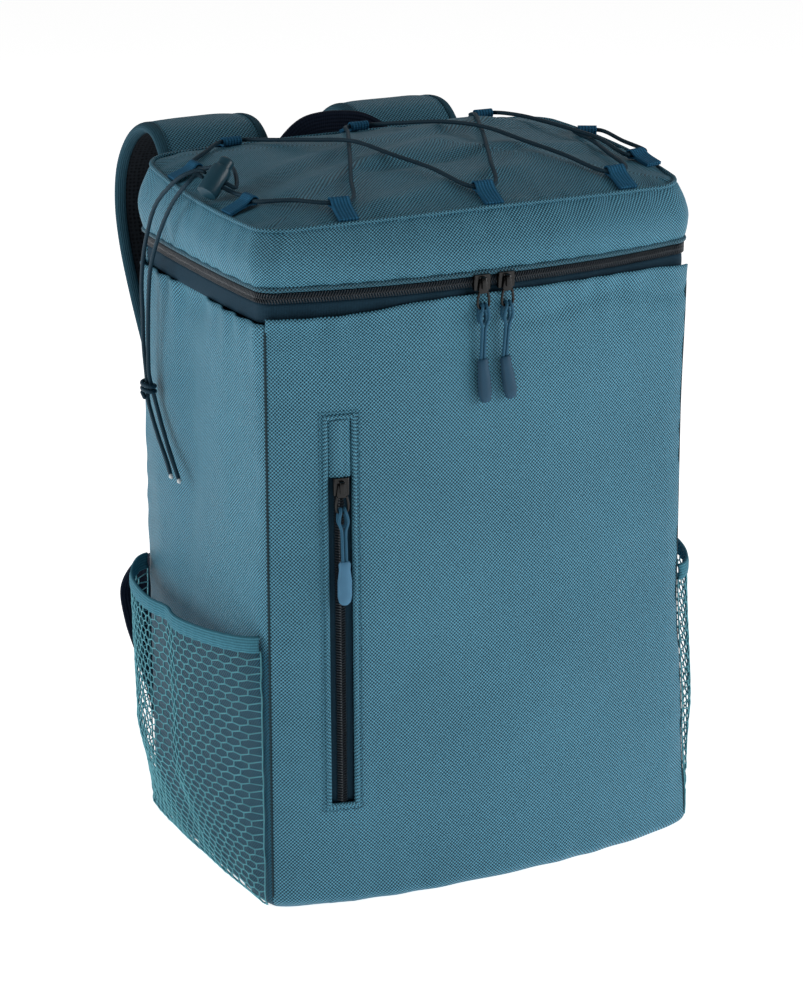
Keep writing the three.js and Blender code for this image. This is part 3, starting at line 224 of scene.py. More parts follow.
class BackpackSizes(bpy.types.PropertyGroup):
    """Sizes that the pieces are made from."""

    body_width: length("Body width", "Width of the body between its side seams", 0.27)
    body_depth: length("Body depth", "Depth of the body between its corner seams", 0.18)
    body_height: length("Body height", "Height of the body under the main zip", 0.351)
    zip_band: length("Zip band", "Height of the band that holds the main zip", 0.02)
    lid_rim: length("Lid rim", "Height of the lid's side band", 0.033)
    lid_rise: length("Lid rise", "Height of the lid's crown over its seam", 0.0155)
    cloth_lip: length("Cloth lip", "How far the front cloth rises over the zip tape", 0.008)
    slot_from_edge: length("Pocket place", "From the left edge to the pocket's opening", 0.035)
    slot_width: length("Pocket opening width", "Width of the upright pocket opening", 0.014)
    slot_bottom: length("Pocket bottom", "Height of the pocket opening's lower end", 0.064)
    slot_height: length("Pocket opening height", "Height of the upright pocket opening", 0.231)
    coil_width: length("Coil width", "Width of the zip chains", 0.0065)
    tooth_pitch: length("Tooth pitch", "Distance between neighbouring zip teeth", 0.0016)
    net_top: length("Net top", "Height of the side nets under their bindings", 0.158)
    net_bulge: length("Net bulge", "How far the side nets stand off", 0.025)
    net_cell: length("Net cell", "Width of one cell of the net", 0.0085)
    net_strand: length("Net strand", "Thickness of the net's strands", 0.00105)
    lace: length("Lace diameter", "Diameter of the lace", 0.0025)
    loop_width: length("Loop width", "Width of the loops that hold the lace", 0.0115)
    strap_width: length("Strap width", "Width of the shoulder straps", 0.075)
    strap_thickness: length("Strap thickness", "Thickness of the shoulder straps", 0.008)
    webbing: length("Webbing width", "Width of the lower webbing", 0.026)
    handle: length("Handle width", "Width of the grab handle's webbing", 0.022)
    weave: length("Weave pitch", "Distance between the weave's light threads", 0.0021)
    stitch: length("Stitch length", "Length of one stitch with its gap", 0.0032)


class BackpackColours(bpy.types.PropertyGroup):
    """Colours of the pieces."""

    thread_light: colour("Light thread", "Lighter thread of the body cloth", 0x60A4BF)
    thread_dark: colour("Dark thread", "Darker thread of the body cloth", 0x0C2F3D)
    tape: colour("Zip tape", "Woven tape of the zips", 0x123040)
    coil: colour("Zip teeth", "Teeth of the zips", 0x222A31)
    metal: colour("Slider metal", "Sliders and pull tabs", 0x050607)
    pull_end: colour("Pull ends", "Moulded ends of the main pulls", 0x24485F)
    pale_pull_end: colour("Pocket pull end", "Moulded end of the pocket's pull", 0x4A7A99)
    pull_cord: colour("Pull cords", "Cord loops of the zip pulls", 0x265670)
    lace: colour("Lace", "Lace and its loose ends", 0x10303F)
    loops: colour("Loops", "Loops that hold the lace", 0x1D5575)
    net: colour("Net", "Side nets", 0x5E9FAC)
    binding: colour("Binding", "Elastic edge of the side nets", 0x3C7486)
    plastic: colour("Cord lock", "Moulded fittings", 0x1D4352)
    webbing: colour("Webbing", "Straps' webbing and grab handle", 0x0E1A2C)
    air_mesh: colour("Air mesh", "Inner face of the straps", 0x0B0F14)


def sizes():
    return bpy.context.scene.backpack_sizes


def colours():
    return bpy.context.scene.backpack_colours


# Shape of the bag

def smooth(share):
    share = np.clip(share, 0, 1)
    return share * share * (3 - 2 * share)


def swelling(z, column):
    at = np.clip(z / sizes().body_height, 0, BODY_SWELLING[-1, 0])
    k = np.clip(np.searchsorted(BODY_SWELLING[:, 0], at), 1, len(BODY_SWELLING) - 1)
    low, high = BODY_SWELLING[k - 1], BODY_SWELLING[k]
    share = smooth((at - low[..., 0]) / (high[..., 0] - low[..., 0]))
    return low[..., column] + (high[..., column] - low[..., column]) * share


def swell(t):
    """Cross profile of a full panel, from -1 to 1."""
    return 1 - np.abs(t) ** 2.4


def flare(z):
    """How far the right side leans out at a height."""
    return swelling(z, FLARE) * sizes().body_width


def foot_inset(z):
    """How far a panel draws in over its foot."""
    return np.where(z < FOOT, 3 * MM * (1 - np.minimum(z, FOOT) / FOOT) ** 2, 0)


def corner_inset(s):
    """How far a panel draws in beside its corner seams."""
    near = np.maximum(0, 1 - np.minimum(s, 1 - s) / 0.05)
    return 2.2 * MM * near * near


def panel_cut(z):
    """How far a panel's edge lies inside the body's corner."""
    return 2.35 * MM + foot_inset(z)


def panel_face(way, column, s, z):
    half = sizes().body_width / 2 - panel_cut(z)
    bulge = swelling(z, column) * sizes().body_depth * swell(2 * s - 1)
    out = sizes().body_depth / 2 + bulge - corner_inset(s) - foot_inset(z)
    return half * (2 * s - 1) + flare(z) * s ** 3, way * out, z


def front_face(s, z):
    """Outer face of the front panel: s runs from its left to its right edge."""
    return panel_face(-1, FRONT, s, z)


def back_face(s, z):
    return panel_face(1, BACK, s, z)


def side_face(outward, s, z):
    """Outer face of a side panel: s runs from the front to the back."""
    depth = sizes().body_depth
    y = (depth / 2 - panel_cut(z)) * (2 * s - 1)
    dent = 0
    for along, up, wide, tall, deep in SIDE_DENTS:
        dent += deep * depth * np.exp(
            -((2 * s - 1 - along) / wide) ** 2 - ((z / sizes().body_height - up) / tall) ** 2)
    bulge = swelling(z, SIDE) * depth * swell(2 * s - 1) - dent * swell(2 * s - 1)
    lean = flare(z) if outward > 0 else 0
    out = sizes().body_width / 2 + lean + bulge - corner_inset(s) - foot_inset(z)
    return outward * out, y, z


def front_share(x, z):
    """The share s of the front panel that lies at x."""
    half = sizes().body_width / 2 - 2.5 * MM
    share = (x + half) / (2 * half)
    for _ in range(8):
        share = (x - flare(z) * np.clip(share, 0, 1) ** 3 + half) / (2 * half)
    return np.clip(share, 0, 1)


def front_at(x, z, inset):
    """The front at x and z, sunk by inset."""
    s = front_share(x, z)
    bulge = swelling(z, FRONT) * sizes().body_depth * swell(2 * s - 1)
    return x, -sizes().body_depth / 2 - bulge + inset + foot_inset(z), z


def rim(side, t, shape, inset):
    """A point on the plan outline above the body: side 0 front, 1 right, 2 back, 3 left."""
    radius, swollen, front, side_out, back, lean = shape
    w, d = sizes().body_width / 2, sizes().body_depth / 2
    half = (w, d, w, d)[side] + swollen
    out = (d, w, d, w)[side] + swollen
    bulge = (front, side_out, back, side_out)[side]
    straight = 1 - ARC_SHARE
    r = radius - inset
    turn = math.pi / 4 * np.maximum(0, np.abs(t) - straight) / ARC_SHARE
    along = np.where(
        np.abs(t) > straight, np.sign(t) * (half - radius + r * np.sin(turn)),
        t / straight * (half - radius))
    outward = np.where(
        np.abs(t) > straight, out - radius + r * np.cos(turn),
        out - inset + bulge * swell(np.minimum(1, np.abs(t) / straight)))
    x, y = ((along, -outward), (outward, along), (-along, outward), (-outward, -along))[side]
    share = (x + w) / (2 * w)
    return x + lean * np.sign(share) * np.abs(share) ** 3, y


def rim_shape(z):
    depth = sizes().body_depth
    return (CORNER_RADIUS, 0, swelling(z, FRONT) * depth, swelling(z, SIDE) * depth,
            swelling(z, BACK) * depth, flare(z))


def lid_bottom():
    return sizes().body_height + sizes().zip_band


def lid_seam():
    return lid_bottom() + sizes().lid_rim


def lid_shape(v):
    front, side_out, back, lean = rim_shape(np.array(lid_bottom()))[2:]
    return (
        CORNER_RADIUS + 6 * MM * v ** 0.5, (4.2 * np.sin(math.pi * v) - 2.5 * v) * MM,
        front + (5 * MM - front) * v, side_out, back, lean,
    )


def seam_height(x, y):
    """Height of the seam between the lid's band and crown, higher behind and on the right."""
    w, d = sizes().body_width / 2, sizes().body_depth / 2
    back = np.clip((y / d + 1) / 2, 0, 1) ** 2.6
    right = np.clip((x / w + 1) / 2, 0, 1) ** 2
    middle = np.clip(1 - (y / d) ** 2, 0, 1)
    front = 0.06 * (1 - (x / w) ** 2)
    return lid_seam() + sizes().lid_rim * (0.3 * back + 0.2 * right * middle + front - 0.06)


def on_rim(sides, ts, shape, inset):
    """The same as rim, for an array of sides."""
    x, y = np.zeros(len(ts)), np.zeros(len(ts))
    for side in range(4):
        pick = sides == side
        if pick.any():
            chosen = [a[pick] if np.ndim(a) else a for a in shape]
            x[pick], y[pick] = rim(side, ts[pick], chosen, inset[pick] if np.ndim(inset) else inset)
    return x, y


def fold_height(x, y):
    """Height of the lid's ridges over its smooth crown."""
    w, d = sizes().body_width / 2, sizes().body_depth / 2
    height = 0
    for start, end, wide, high in LID_FOLDS:
        ax, ay = start[0] * w, start[1] * d
        bx, by = (end[0] - start[0]) * w, (end[1] - start[1]) * d
        size = math.hypot(bx, by)
        share = ((x - ax) * bx + (y - ay) * by) / size ** 2
        across = np.abs((x - ax) * by - (y - ay) * bx) / size
        fade = np.exp(-(np.maximum(0, np.abs(2 * share - 1) - 0.7) / 0.3) ** 2)
        height += high * sizes().lid_rise * fade * np.exp(-(across / (wide * d)) ** 2)
    return height


def lid_point(u, v):
    """The lid's crown over its seam: u and v run from -1 to 1 over a square."""
    ring = np.maximum(np.abs(u), np.abs(v))
    safe = np.maximum(ring, 1e-9)
    upright = np.abs(v) >= np.abs(u)
    sides = np.where(upright, np.where(v < 0, 0, 2), np.where(u > 0, 1, 3))
    ts = np.choose(sides, (u / safe, v / safe, -u / safe, -v / safe))
    edge_x, edge_y = on_rim(sides, ts, lid_shape(1.0), 0)
    x, y = edge_x * ring, edge_y * ring
    rise = 1 - ring ** 2.2
    z = seam_height(x, y) + sizes().lid_rise * rise
    return x, y, z + fold_height(x, y) * np.minimum(1, rise * 3)


def ripple(x, y, z, scale, seed, octaves=2):
    """Soft random ups and downs between about -1 and 1 at the given points."""
    return np.array([
        noise.fractal(Vector((a * scale + seed, b * scale, c * scale)), 1.0, 2.0, octaves)
        for a, b, c in zip(x, y, z)
    ])


# Mesh making

def graded(*runs):
    """Stations in one rising row, from runs of (from, to, count) that share their ends."""
    return np.unique(np.concatenate([np.linspace(*run) for run in runs]))


def index(k):
    """Station numbers as whole numbers."""
    return np.rint(k).astype(int)


def distances(line):
    """How far along a line each of its points is."""
    return np.concatenate([[0], np.cumsum(np.linalg.norm(np.diff(line, axis=0), axis=1))])


def directions(line):
    """The way ahead at each point of a line."""
    ahead = np.gradient(line, axis=0)
    return ahead / np.linalg.norm(ahead, axis=1)[:, None]


def point_at(line, at, distance):
    return Vector([np.interp(distance, at, line[:, n]) for n in range(3)])


def standing(first, second, up, centre):
    """The matrix that puts a small unit at centre with its axes along these three ways."""
    place = Matrix((first, second, up)).transposed().to_4x4()
    place.translation = centre
    return place


def rim_stations(arc, straight):
    """Stations along one side of the rim: so many on each arc, so many between."""
    return graded((-1, -1 + ARC_SHARE, arc), (-1 + ARC_SHARE, 1 - ARC_SHARE, straight),
                  (1 - ARC_SHARE, 1, arc))


def finished(name, bm, sharp=None):
    mesh = bpy.data.meshes.new(name)
    bm.to_mesh(mesh)
    bm.free()
    mesh.shade_smooth()
    if sharp:
        mesh.set_sharp_from_angle(angle=math.radians(sharp))
    piece = bpy.data.objects.new(name, mesh)
    bpy.context.scene.collection.objects.link(piece)
    return piece


def cloth_grid(name, us, vs, place, closed=False, hole=None, thickness=0.0, inside=(0, 0, 0.2)):
    """A sheet on place(u, v) with UVs in metres; its faces point away from inside."""
    us, vs = np.asarray(us, float), np.asarray(vs, float)
    nu, nv = len(us) - 1, len(vs) - 1
    bm = bmesh.new()
    bmesh.ops.create_grid(bm, x_segments=nu, y_segments=nv, size=1.0)
    bm.verts.ensure_lookup_table()
    flat = np.array([v.co[:] for v in bm.verts])
    i = np.rint((flat[:, 0] + 1) / 2 * nu).astype(int)
    j = np.rint((flat[:, 1] + 1) / 2 * nv).astype(int)
    places = np.stack([np.broadcast_to(c, i.shape) for c in place(us[i], vs[j])], axis=1)
    table = np.zeros((nu + 1, nv + 1, 3))
    table[i, j] = places
    along = np.linalg.norm(np.diff(table, axis=0), axis=2).mean(axis=1)
    up = np.linalg.norm(np.diff(table, axis=1), axis=2).mean(axis=0)
    across = np.concatenate([[0], np.cumsum(along)])
    upward = np.concatenate([[0], np.cumsum(up)])
    for vert, point in zip(bm.verts, places):
        vert.co = point
    uv = bm.loops.layers.uv.new("cloth")
    for face in bm.faces:
        for loop in face.loops:
            k = loop.vert.index
            loop[uv].uv = (across[i[k]], upward[j[k]])
    if hole:
        gone = []
        for face in bm.faces:
            ks = [v.index for v in face.verts]
            if hole(us[i[ks]].mean(), vs[j[ks]].mean()):
                gone.append(face)
        bmesh.ops.delete(bm, geom=gone, context="FACES")
    if closed:
        bmesh.ops.remove_doubles(bm, verts=bm.verts, dist=1e-7)
    bm.normal_update()
    centre = Vector(inside)
    turned = sum(f.normal.dot(f.calc_center_median() - centre) * f.calc_area() for f in bm.faces)
    if turned < 0:
        bmesh.ops.reverse_faces(bm, faces=bm.faces)
    piece = finished(name, bm)
    if thickness:
        wall = piece.modifiers.new("Thickness", "SOLIDIFY")
        wall.thickness = thickness
        wall.offset = -1
    return piece


def curve_points(points, spacing, scale=MM):
    """Points spaced evenly along a smooth curve through the given ones."""
    knots = [Vector(p) * scale for p in points]
    ends = [knots[0] * 2 - knots[1], *knots, knots[-1] * 2 - knots[-2]]
    fine = []
    for k in range(1, len(ends) - 2):
        p0, p1, p2, p3 = ends[k - 1:k + 3]
        t1 = max(1e-6, (p1 - p0).length ** 0.5)
        t2 = t1 + max(1e-6, (p2 - p1).length ** 0.5)
        t3 = t2 + max(1e-6, (p3 - p2).length ** 0.5)
        for step in range(24):
            t = t1 + (t2 - t1) * step / 24
            a1 = p0 * ((t1 - t) / t1) + p1 * (t / t1)
            a2 = p1 * ((t2 - t) / (t2 - t1)) + p2 * ((t - t1) / (t2 - t1))
            a3 = p2 * ((t3 - t) / (t3 - t2)) + p3 * ((t - t2) / (t3 - t2))
            b1 = a1 * ((t2 - t) / t2) + a2 * (t / t2)
            b2 = a2 * ((t3 - t) / (t3 - t1)) + a3 * ((t - t1) / (t3 - t1))
            fine.append(b1 * ((t2 - t) / (t2 - t1)) + b2 * ((t - t1) / (t2 - t1)))
    fine.append(knots[-1])
    line = np.array([p[:] for p in fine])
    at = distances(line)
    count = max(2, int(round(at[-1] / spacing)))
    even = np.linspace(0, at[-1], count + 1)
    return np.stack([np.interp(even, at, line[:, k]) for k in range(3)], axis=1)


def cross_frames(line):
    """Two directions square to a line at each of its points, turning as little as they can."""
    ahead = directions(line)
    first = np.cross(ahead[0], (0.3, 0.2, 1.0))
    firsts = [first / np.linalg.norm(first)]
    for direction in ahead[1:]:
        first = firsts[-1] - direction * firsts[-1].dot(direction)
        firsts.append(first / np.linalg.norm(first))
    firsts = np.array(firsts)
    return firsts, np.cross(ahead, firsts)


def tube(name, line, radius, sides=12, tip=0.5):
    """A round cord along a line, with rounded ends, and UVs in metres along it."""
    first, second = cross_frames(line)
    count = len(line) - 1

    def place(u, v):
        k = index(v * count)
        turn = u * 2 * math.pi
        size = np.where((k == 0) | (k == count), tip, 1) * radius
        off = first[k] * np.cos(turn)[:, None] + second[k] * np.sin(turn)[:, None]
        return tuple((line[k] + off * size[:, None]).T)

    cord = cloth_grid(name, np.linspace(0, 1, sides + 1), np.linspace(0, 1, count + 1), place,
                      closed=True)
    bm = bmesh.new()
    bm.from_mesh(cord.data)
    rims = [edge for edge in bm.edges if edge.is_boundary]
    bmesh.ops.holes_fill(bm, edges=rims)
    bmesh.ops.recalc_face_normals(bm, faces=bm.faces)
    bm.to_mesh(cord.data)
    bm.free()
    cord.data.shade_smooth()
    return cord


def copies(name, unit, places):
    """One piece made of copies of a small unit, each put in place by a matrix."""
    bm = bmesh.new()
    for place in places:
        before = len(bm.verts)
        bm.from_mesh(unit.data)
        bm.verts.ensure_lookup_table()
        bmesh.ops.transform(bm, matrix=place, verts=bm.verts[before:])
    bpy.data.objects.remove(unit)
    return finished(name, bm)


def pill(run, width, height):
    """A small rounded bar along X, for one stitch or tooth."""
    bm = bmesh.new()
    bmesh.ops.create_cube(bm, size=1.0)
    bmesh.ops.scale(bm, vec=(run, width, height), verts=bm.verts)
    bmesh.ops.bevel(
        bm, geom=list(bm.edges), offset=min(run, width, height) * 0.38, segments=1, profile=0.5,
        affect="EDGES", material=-1)
    return finished("unit", bm)


def stitch_row(name, line, out):
    """Stitches laid end to end along a line; out gives the side that they lie on."""
    stitch = sizes().stitch
    unit = pill(stitch * 0.74, 0.45 * MM, 0.4 * MM)
    at = distances(line)
    count = max(1, int(at[-1] / stitch))
    places = []
    for mid in (np.arange(count) + 0.5) * at[-1] / count:
        ends = [point_at(line, at, mid + d) for d in (-0.3 * stitch, 0.3 * stitch)]
        ahead = (ends[1] - ends[0]).normalized()
        centre = (ends[0] + ends[1]) / 2
        up = Vector(out(centre) if callable(out) else out).normalized()
        side = up.cross(ahead).normalized()
        places.append(standing(ahead, side, ahead.cross(side), centre))
    return copies(name, unit, places)


def trimmed(name, node, bevel, sharp=40):
    """A finer copy of a frame node with its edges eased."""
    bm = bmesh.new()
    bm.from_mesh(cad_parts[node].data)
    bmesh.ops.remove_doubles(bm, verts=bm.verts, dist=1e-6)
    bmesh.ops.dissolve_limit(bm, angle_limit=math.radians(2), verts=bm.verts, edges=bm.edges)
    piece = finished(name, bm, sharp)
    ease = piece.modifiers.new("Eased edges", "BEVEL")
    ease.width = bevel
    ease.segments = 2
    ease.angle_limit = math.radians(35)
    ease.use_clamp_overlap = True
    return piece


def dress(piece, body, finish, replaced=()):
    """Gives a finished piece its material, its body and the nodes that it stands for."""
    piece.data.materials.clear()
    piece.data.materials.append(finish)
    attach(piece, body)
    if replaced:
        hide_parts(*replaced)
    return piece


# Materials

def material(name):
    """A new material with its node tree cleared down to a surface shader."""
    made = bpy.data.materials.new(name)
    made.use_nodes = True
    tree = made.node_tree
    tree.nodes.clear()
    out = tree.nodes.new("ShaderNodeOutputMaterial")
    shader = tree.nodes.new("ShaderNodeBsdfPrincipled")
    tree.links.new(shader.outputs[0], out.inputs[0])
    return made, tree, shader


def maths(tree, operation, first, second=None, third=None):
    node = tree.nodes.new("ShaderNodeMath")
    node.operation = operation
    for socket, value in zip(node.inputs, (first, second, third)):
        if value is None:
            continue
        if isinstance(value, (int, float)):
            socket.default_value = value
        else:
            tree.links.new(value, socket)
    return node.outputs[0]


def cloud(tree, vector, scale, detail=2.0, rough=0.5):
    node = tree.nodes.new("ShaderNodeTexNoise")
    node.inputs["Scale"].default_value = scale
    node.inputs["Detail"].default_value = detail
    node.inputs["Roughness"].default_value = rough
    tree.links.new(vector, node.inputs["Vector"])
    return node.outputs["Fac"]


def blended(tree, share, first, second):
    node = tree.nodes.new("ShaderNodeMix")
    node.data_type = "RGBA"
    if isinstance(share, (int, float)):
        node.inputs["Factor"].default_value = share
    else:
        tree.links.new(share, node.inputs["Factor"])
    for socket, value in ((node.inputs[6], first), (node.inputs[7], second)):
        if isinstance(value, bpy.types.NodeSocket):
            tree.links.new(value, socket)
        else:
            socket.default_value = (*value, 1)
    return node.outputs[2]


def toned(tone, factor, lift=0.0):
    """A colour made lighter or darker."""
    return tuple(min(1, part * factor + lift) for part in tone)


def bump(tree, shader, height, distance, strength=1.0):
    node = tree.nodes.new("ShaderNodeBump")
    node.inputs["Distance"].default_value = distance
    node.inputs["Strength"].default_value = strength
    tree.links.new(height, node.inputs["Height"])
    tree.links.new(node.outputs["Normal"], shader.inputs["Normal"])


def coordinates(tree, kind):
    """Object coordinates, or the piece's own UV map in metres along its cloth."""
    if kind == "Object":
        return tree.nodes.new("ShaderNodeTexCoord").outputs["Object"]
    node = tree.nodes.new("ShaderNodeUVMap")
    node.uv_map = "cloth"
    return node.outputs["UV"]


def two_tone_cloth(name, light, dark, pitch, relief=0.00025, shade=1.0, painted_shade_below=None):
    """Plain-woven polyester: light and dark threads with blotches of painted sheen, and painted
    shade below a given height.
    """
    made, tree, shader = material(name)
    where = coordinates(tree, "UV")
    stray = tree.nodes.new("ShaderNodeTexNoise")
    stray.inputs["Scale"].default_value = 45.0
    tree.links.new(where, stray.inputs["Vector"])
    pulled = tree.nodes.new("ShaderNodeVectorMath")
    pulled.operation = "MULTIPLY_ADD"
    pulled.inputs[1].default_value = (0.0011, 0.0011, 0)
    tree.links.new(stray.outputs["Color"], pulled.inputs[0])
    tree.links.new(where, pulled.inputs[2])
    apart = tree.nodes.new("ShaderNodeSeparateXYZ")
    tree.links.new(pulled.outputs[0], apart.inputs[0])
    turn = 2 * math.pi / pitch
    across = maths(tree, "SINE", maths(tree, "MULTIPLY", apart.outputs[0], turn))
    up = maths(tree, "SINE", maths(tree, "MULTIPLY", apart.outputs[1], turn))
    pattern = maths(tree, "MULTIPLY_ADD", maths(tree, "MULTIPLY", across, up), 0.95, 0.48)
    # Broad soft blotches of painted sheen: lighter and darker patches over the cloth, which also
    # feed the bump.
    painted_sheen_blotches = cloud(tree, coordinates(tree, "Object"), 11.0, 3.0)
    pattern = maths(tree, "ADD", pattern, maths(tree, "MULTIPLY_ADD", painted_sheen_blotches, 0.3, -0.15))
    thread = cloud(tree, where, 1100.0, 0.0)
    pattern = maths(tree, "ADD", pattern, maths(tree, "MULTIPLY_ADD", thread, 0.5, -0.25))
    kept = tree.nodes.new("ShaderNodeClamp")
    tree.links.new(pattern, kept.inputs[0])
    light, dark = toned(light, shade), toned(dark, shade)
    tone = blended(tree, kept.outputs[0], dark, light)
    # Painted shade: below the nets' top both thread tones are darkened, standing in for the shade
    # inside the side pockets.
    if painted_shade_below:
        height = tree.nodes.new("ShaderNodeSeparateXYZ")
        tree.links.new(coordinates(tree, "Object"), height.inputs[0])
        slope = 80.0
        share = maths(tree, "MULTIPLY_ADD", height.outputs[2], slope, 0.5 - slope * painted_shade_below)
        share.node.use_clamp = True
        painted_shade_tone = blended(tree, kept.outputs[0], *(
            tuple(a * b for a, b in zip(part, PAINTED_NET_SHADE)) for part in (dark, light)))
        tone = blended(tree, share, painted_shade_tone, tone)
    tree.links.new(tone, shader.inputs["Base Color"])
    shader.inputs["Roughness"].default_value = 0.5
    shader.inputs["Specular IOR Level"].default_value = 0.2
    bump(tree, shader, pattern, relief)
    return made


def ribbed_cloth(name, tone, pitch, along=0, relief=0.0003, lift=1.35):
    """Woven tape or webbing: ribs that run along the strip, crossed by fine threads."""
    made, tree, shader = material(name)
    apart = tree.nodes.new("ShaderNodeSeparateXYZ")
    tree.links.new(coordinates(tree, "UV"), apart.inputs[0])
    rib = maths(tree, "SINE", maths(tree, "MULTIPLY", apart.outputs[along], 2 * math.pi / pitch))
    fine = maths(tree, "SINE", maths(
        tree, "MULTIPLY", apart.outputs[1 - along], 2 * math.pi / (pitch * 0.6)))
    height = maths(tree, "MULTIPLY_ADD", rib, 0.35, 0.5)
    height = maths(tree, "MULTIPLY_ADD", fine, 0.14, height)
    fluff = cloud(tree, coordinates(tree, "Object"), 700.0, 1.0)
    shown = maths(tree, "MULTIPLY_ADD", fluff, 0.5, maths(tree, "MULTIPLY", height, 0.7))
    tree.links.new(blended(tree, shown, toned(tone, 0.55), toned(tone, lift, 0.004)),
                   shader.inputs["Base Color"])
    shader.inputs["Roughness"].default_value = 0.75
    shader.inputs["Specular IOR Level"].default_value = 0.12
    bump(tree, shader, height, relief)
    return made


def braided(name, tone, diameter, relief=0.0002):
    """Braided cord: strands wound both ways round the tube's own UVs."""
    made, tree, shader = material(name)
    apart = tree.nodes.new("ShaderNodeSeparateXYZ")
    tree.links.new(coordinates(tree, "UV"), apart.inputs[0])
    around = maths(tree, "MULTIPLY", apart.outputs[0], 8 / diameter)
    along = maths(tree, "MULTIPLY", apart.outputs[1], 2 * math.pi / (diameter * 0.55))
    left = maths(tree, "SINE", maths(tree, "ADD", around, along))
    right = maths(tree, "SINE", maths(tree, "SUBTRACT", around, along))
    height = maths(tree, "MULTIPLY_ADD", maths(tree, "MAXIMUM", left, right), 0.4, 0.5)
    tree.links.new(blended(tree, height, toned(tone, 0.6), toned(tone, 1.35, 0.004)),
                   shader.inputs["Base Color"])
    shader.inputs["Roughness"].default_value = 0.55
    shader.inputs["Specular IOR Level"].default_value = 0.2
    bump(tree, shader, height, relief)
    return made


def moulded(name, tone, rough=0.42, grain=1800.0, relief=0.00005, metallic=0.0, coat=0.0):
    """Moulded plastic, rubber or painted metal with a fine grain."""
    made, tree, shader = material(name)
    where = coordinates(tree, "Object")
    speck = cloud(tree, where, grain, 2.0)
    broad = cloud(tree, where, 90.0, 2.0)
    tree.links.new(blended(tree, broad, toned(tone, 0.8), toned(tone, 1.18)),
                   shader.inputs["Base Color"])
    tree.links.new(maths(tree, "MULTIPLY_ADD", speck, 0.16, rough - 0.08),
                   shader.inputs["Roughness"])
    shader.inputs["Metallic"].default_value = metallic
    shader.inputs["Specular IOR Level"].default_value = 0.3 if coat else 0.2
    shader.inputs["Coat Weight"].default_value = coat
    bump(tree, shader, speck, relief)
    return made


def knitted_mesh(name, tone, cell):
    """Air mesh: small round holes in rows over a spongy knit."""
    made, tree, shader = material(name)
    cells = tree.nodes.new("ShaderNodeTexVoronoi")
    cells.inputs["Scale"].default_value = 1 / cell
    cells.inputs["Randomness"].default_value = 0.25
    tree.links.new(coordinates(tree, "UV"), cells.inputs["Vector"])
    height = maths(tree, "SMOOTH_MIN", cells.outputs["Distance"], 0.45, 0.1)
    tree.links.new(blended(tree, maths(tree, "MULTIPLY", height, 2.0), toned(tone, 0.3),
                           toned(tone, 2.4, 0.01)), shader.inputs["Base Color"])
    shader.inputs["Roughness"].default_value = 0.9
    shader.inputs["Specular IOR Level"].default_value = 0.05
    bump(tree, shader, height, 0.0006)
    return made


FINISHES = {}


def finish(name):
    """The shared material of that name, made the first time that it is asked for."""
    if name in FINISHES:
        return FINISHES[name]
    c, s = colours(), sizes()
    light, dark = tuple(c.thread_light), tuple(c.thread_dark)
    makers = {
        "cloth": lambda: two_tone_cloth("body_cloth", light, dark, s.weave),
        # The side cloth carries painted shade behind the nets.
        "side_cloth": lambda: two_tone_cloth("side_cloth", light, dark, s.weave, painted_shade_below=0.162),
        # The lid's cloth is made darker as painted shade, for the little light that falls on the
        # lid's top.
        "lid_cloth": lambda: two_tone_cloth("lid_cloth", light, dark, s.weave, shade=0.86),
        "strap_cloth": lambda: two_tone_cloth("strap_cloth", light, dark, s.weave, shade=0.75),
        "tape": lambda: ribbed_cloth("zip_tape", tuple(c.tape), 0.0009, relief=0.0001),
        "teeth": lambda: moulded("zip_teeth", tuple(c.coil), 0.3, metallic=0.4, coat=0.3),
        "metal": lambda: moulded("slider_metal", tuple(c.metal), 0.2, coat=0.05,
                                 relief=0.00001),
        "seam": lambda: moulded("seam_thread_and_groove_shade", SEAM_THREAD_AND_GROOVE_SHADE, 0.7),
        "lid_roll": lambda: two_tone_cloth("lid_roll_cloth", light, dark, s.weave, shade=0.5),
        "pull_end": lambda: moulded("pull_rubber", tuple(c.pull_end), 0.5, 900.0),
        "pale_pull_end": lambda: moulded("pale_rubber", tuple(c.pale_pull_end), 0.5, 900.0),
        "pull_cord": lambda: braided("pull_cord", tuple(c.pull_cord), 0.002),
        "lace": lambda: braided("braided_lace", tuple(c.lace), s.lace),
        "lace_tip": lambda: moulded("fused_tip", FUSED_TIP, 0.4),
        "loops": lambda: ribbed_cloth("loop_webbing", tuple(c.loops), 0.0019, relief=0.0006,
                                      lift=1.5),
        "net": lambda: moulded("net_yarn", tuple(c.net), 0.6, 1500.0),
        "binding": lambda: ribbed_cloth("elastic_binding", tuple(c.binding), 0.0016, along=1),
        "plastic": lambda: moulded("moulded_plastic", tuple(c.plastic), 0.4, coat=0.1),
        "webbing": lambda: ribbed_cloth("dark_webbing", tuple(c.webbing), 0.0022, relief=0.0004),
        "webbing_plain": lambda: moulded("dark_cloth", tuple(c.webbing), 0.8, 900.0, 0.0002),
        "strap_edge": lambda: ribbed_cloth("strap_edge", tuple(0.7 * a + 0.12 * b for a, b in
                                                       zip(dark, light)), 0.0012),
        "air_mesh": lambda: knitted_mesh("air_mesh", tuple(c.air_mesh), 0.0026),
        "stitch": lambda: moulded("sewing_thread", tuple(a * 0.55 + b * 0.45 for a, b in
                                                         zip(dark, light)), 0.6),
    }
    FINISHES[name] = makers[name]()
    return FINISHES[name]


# Camera and stage

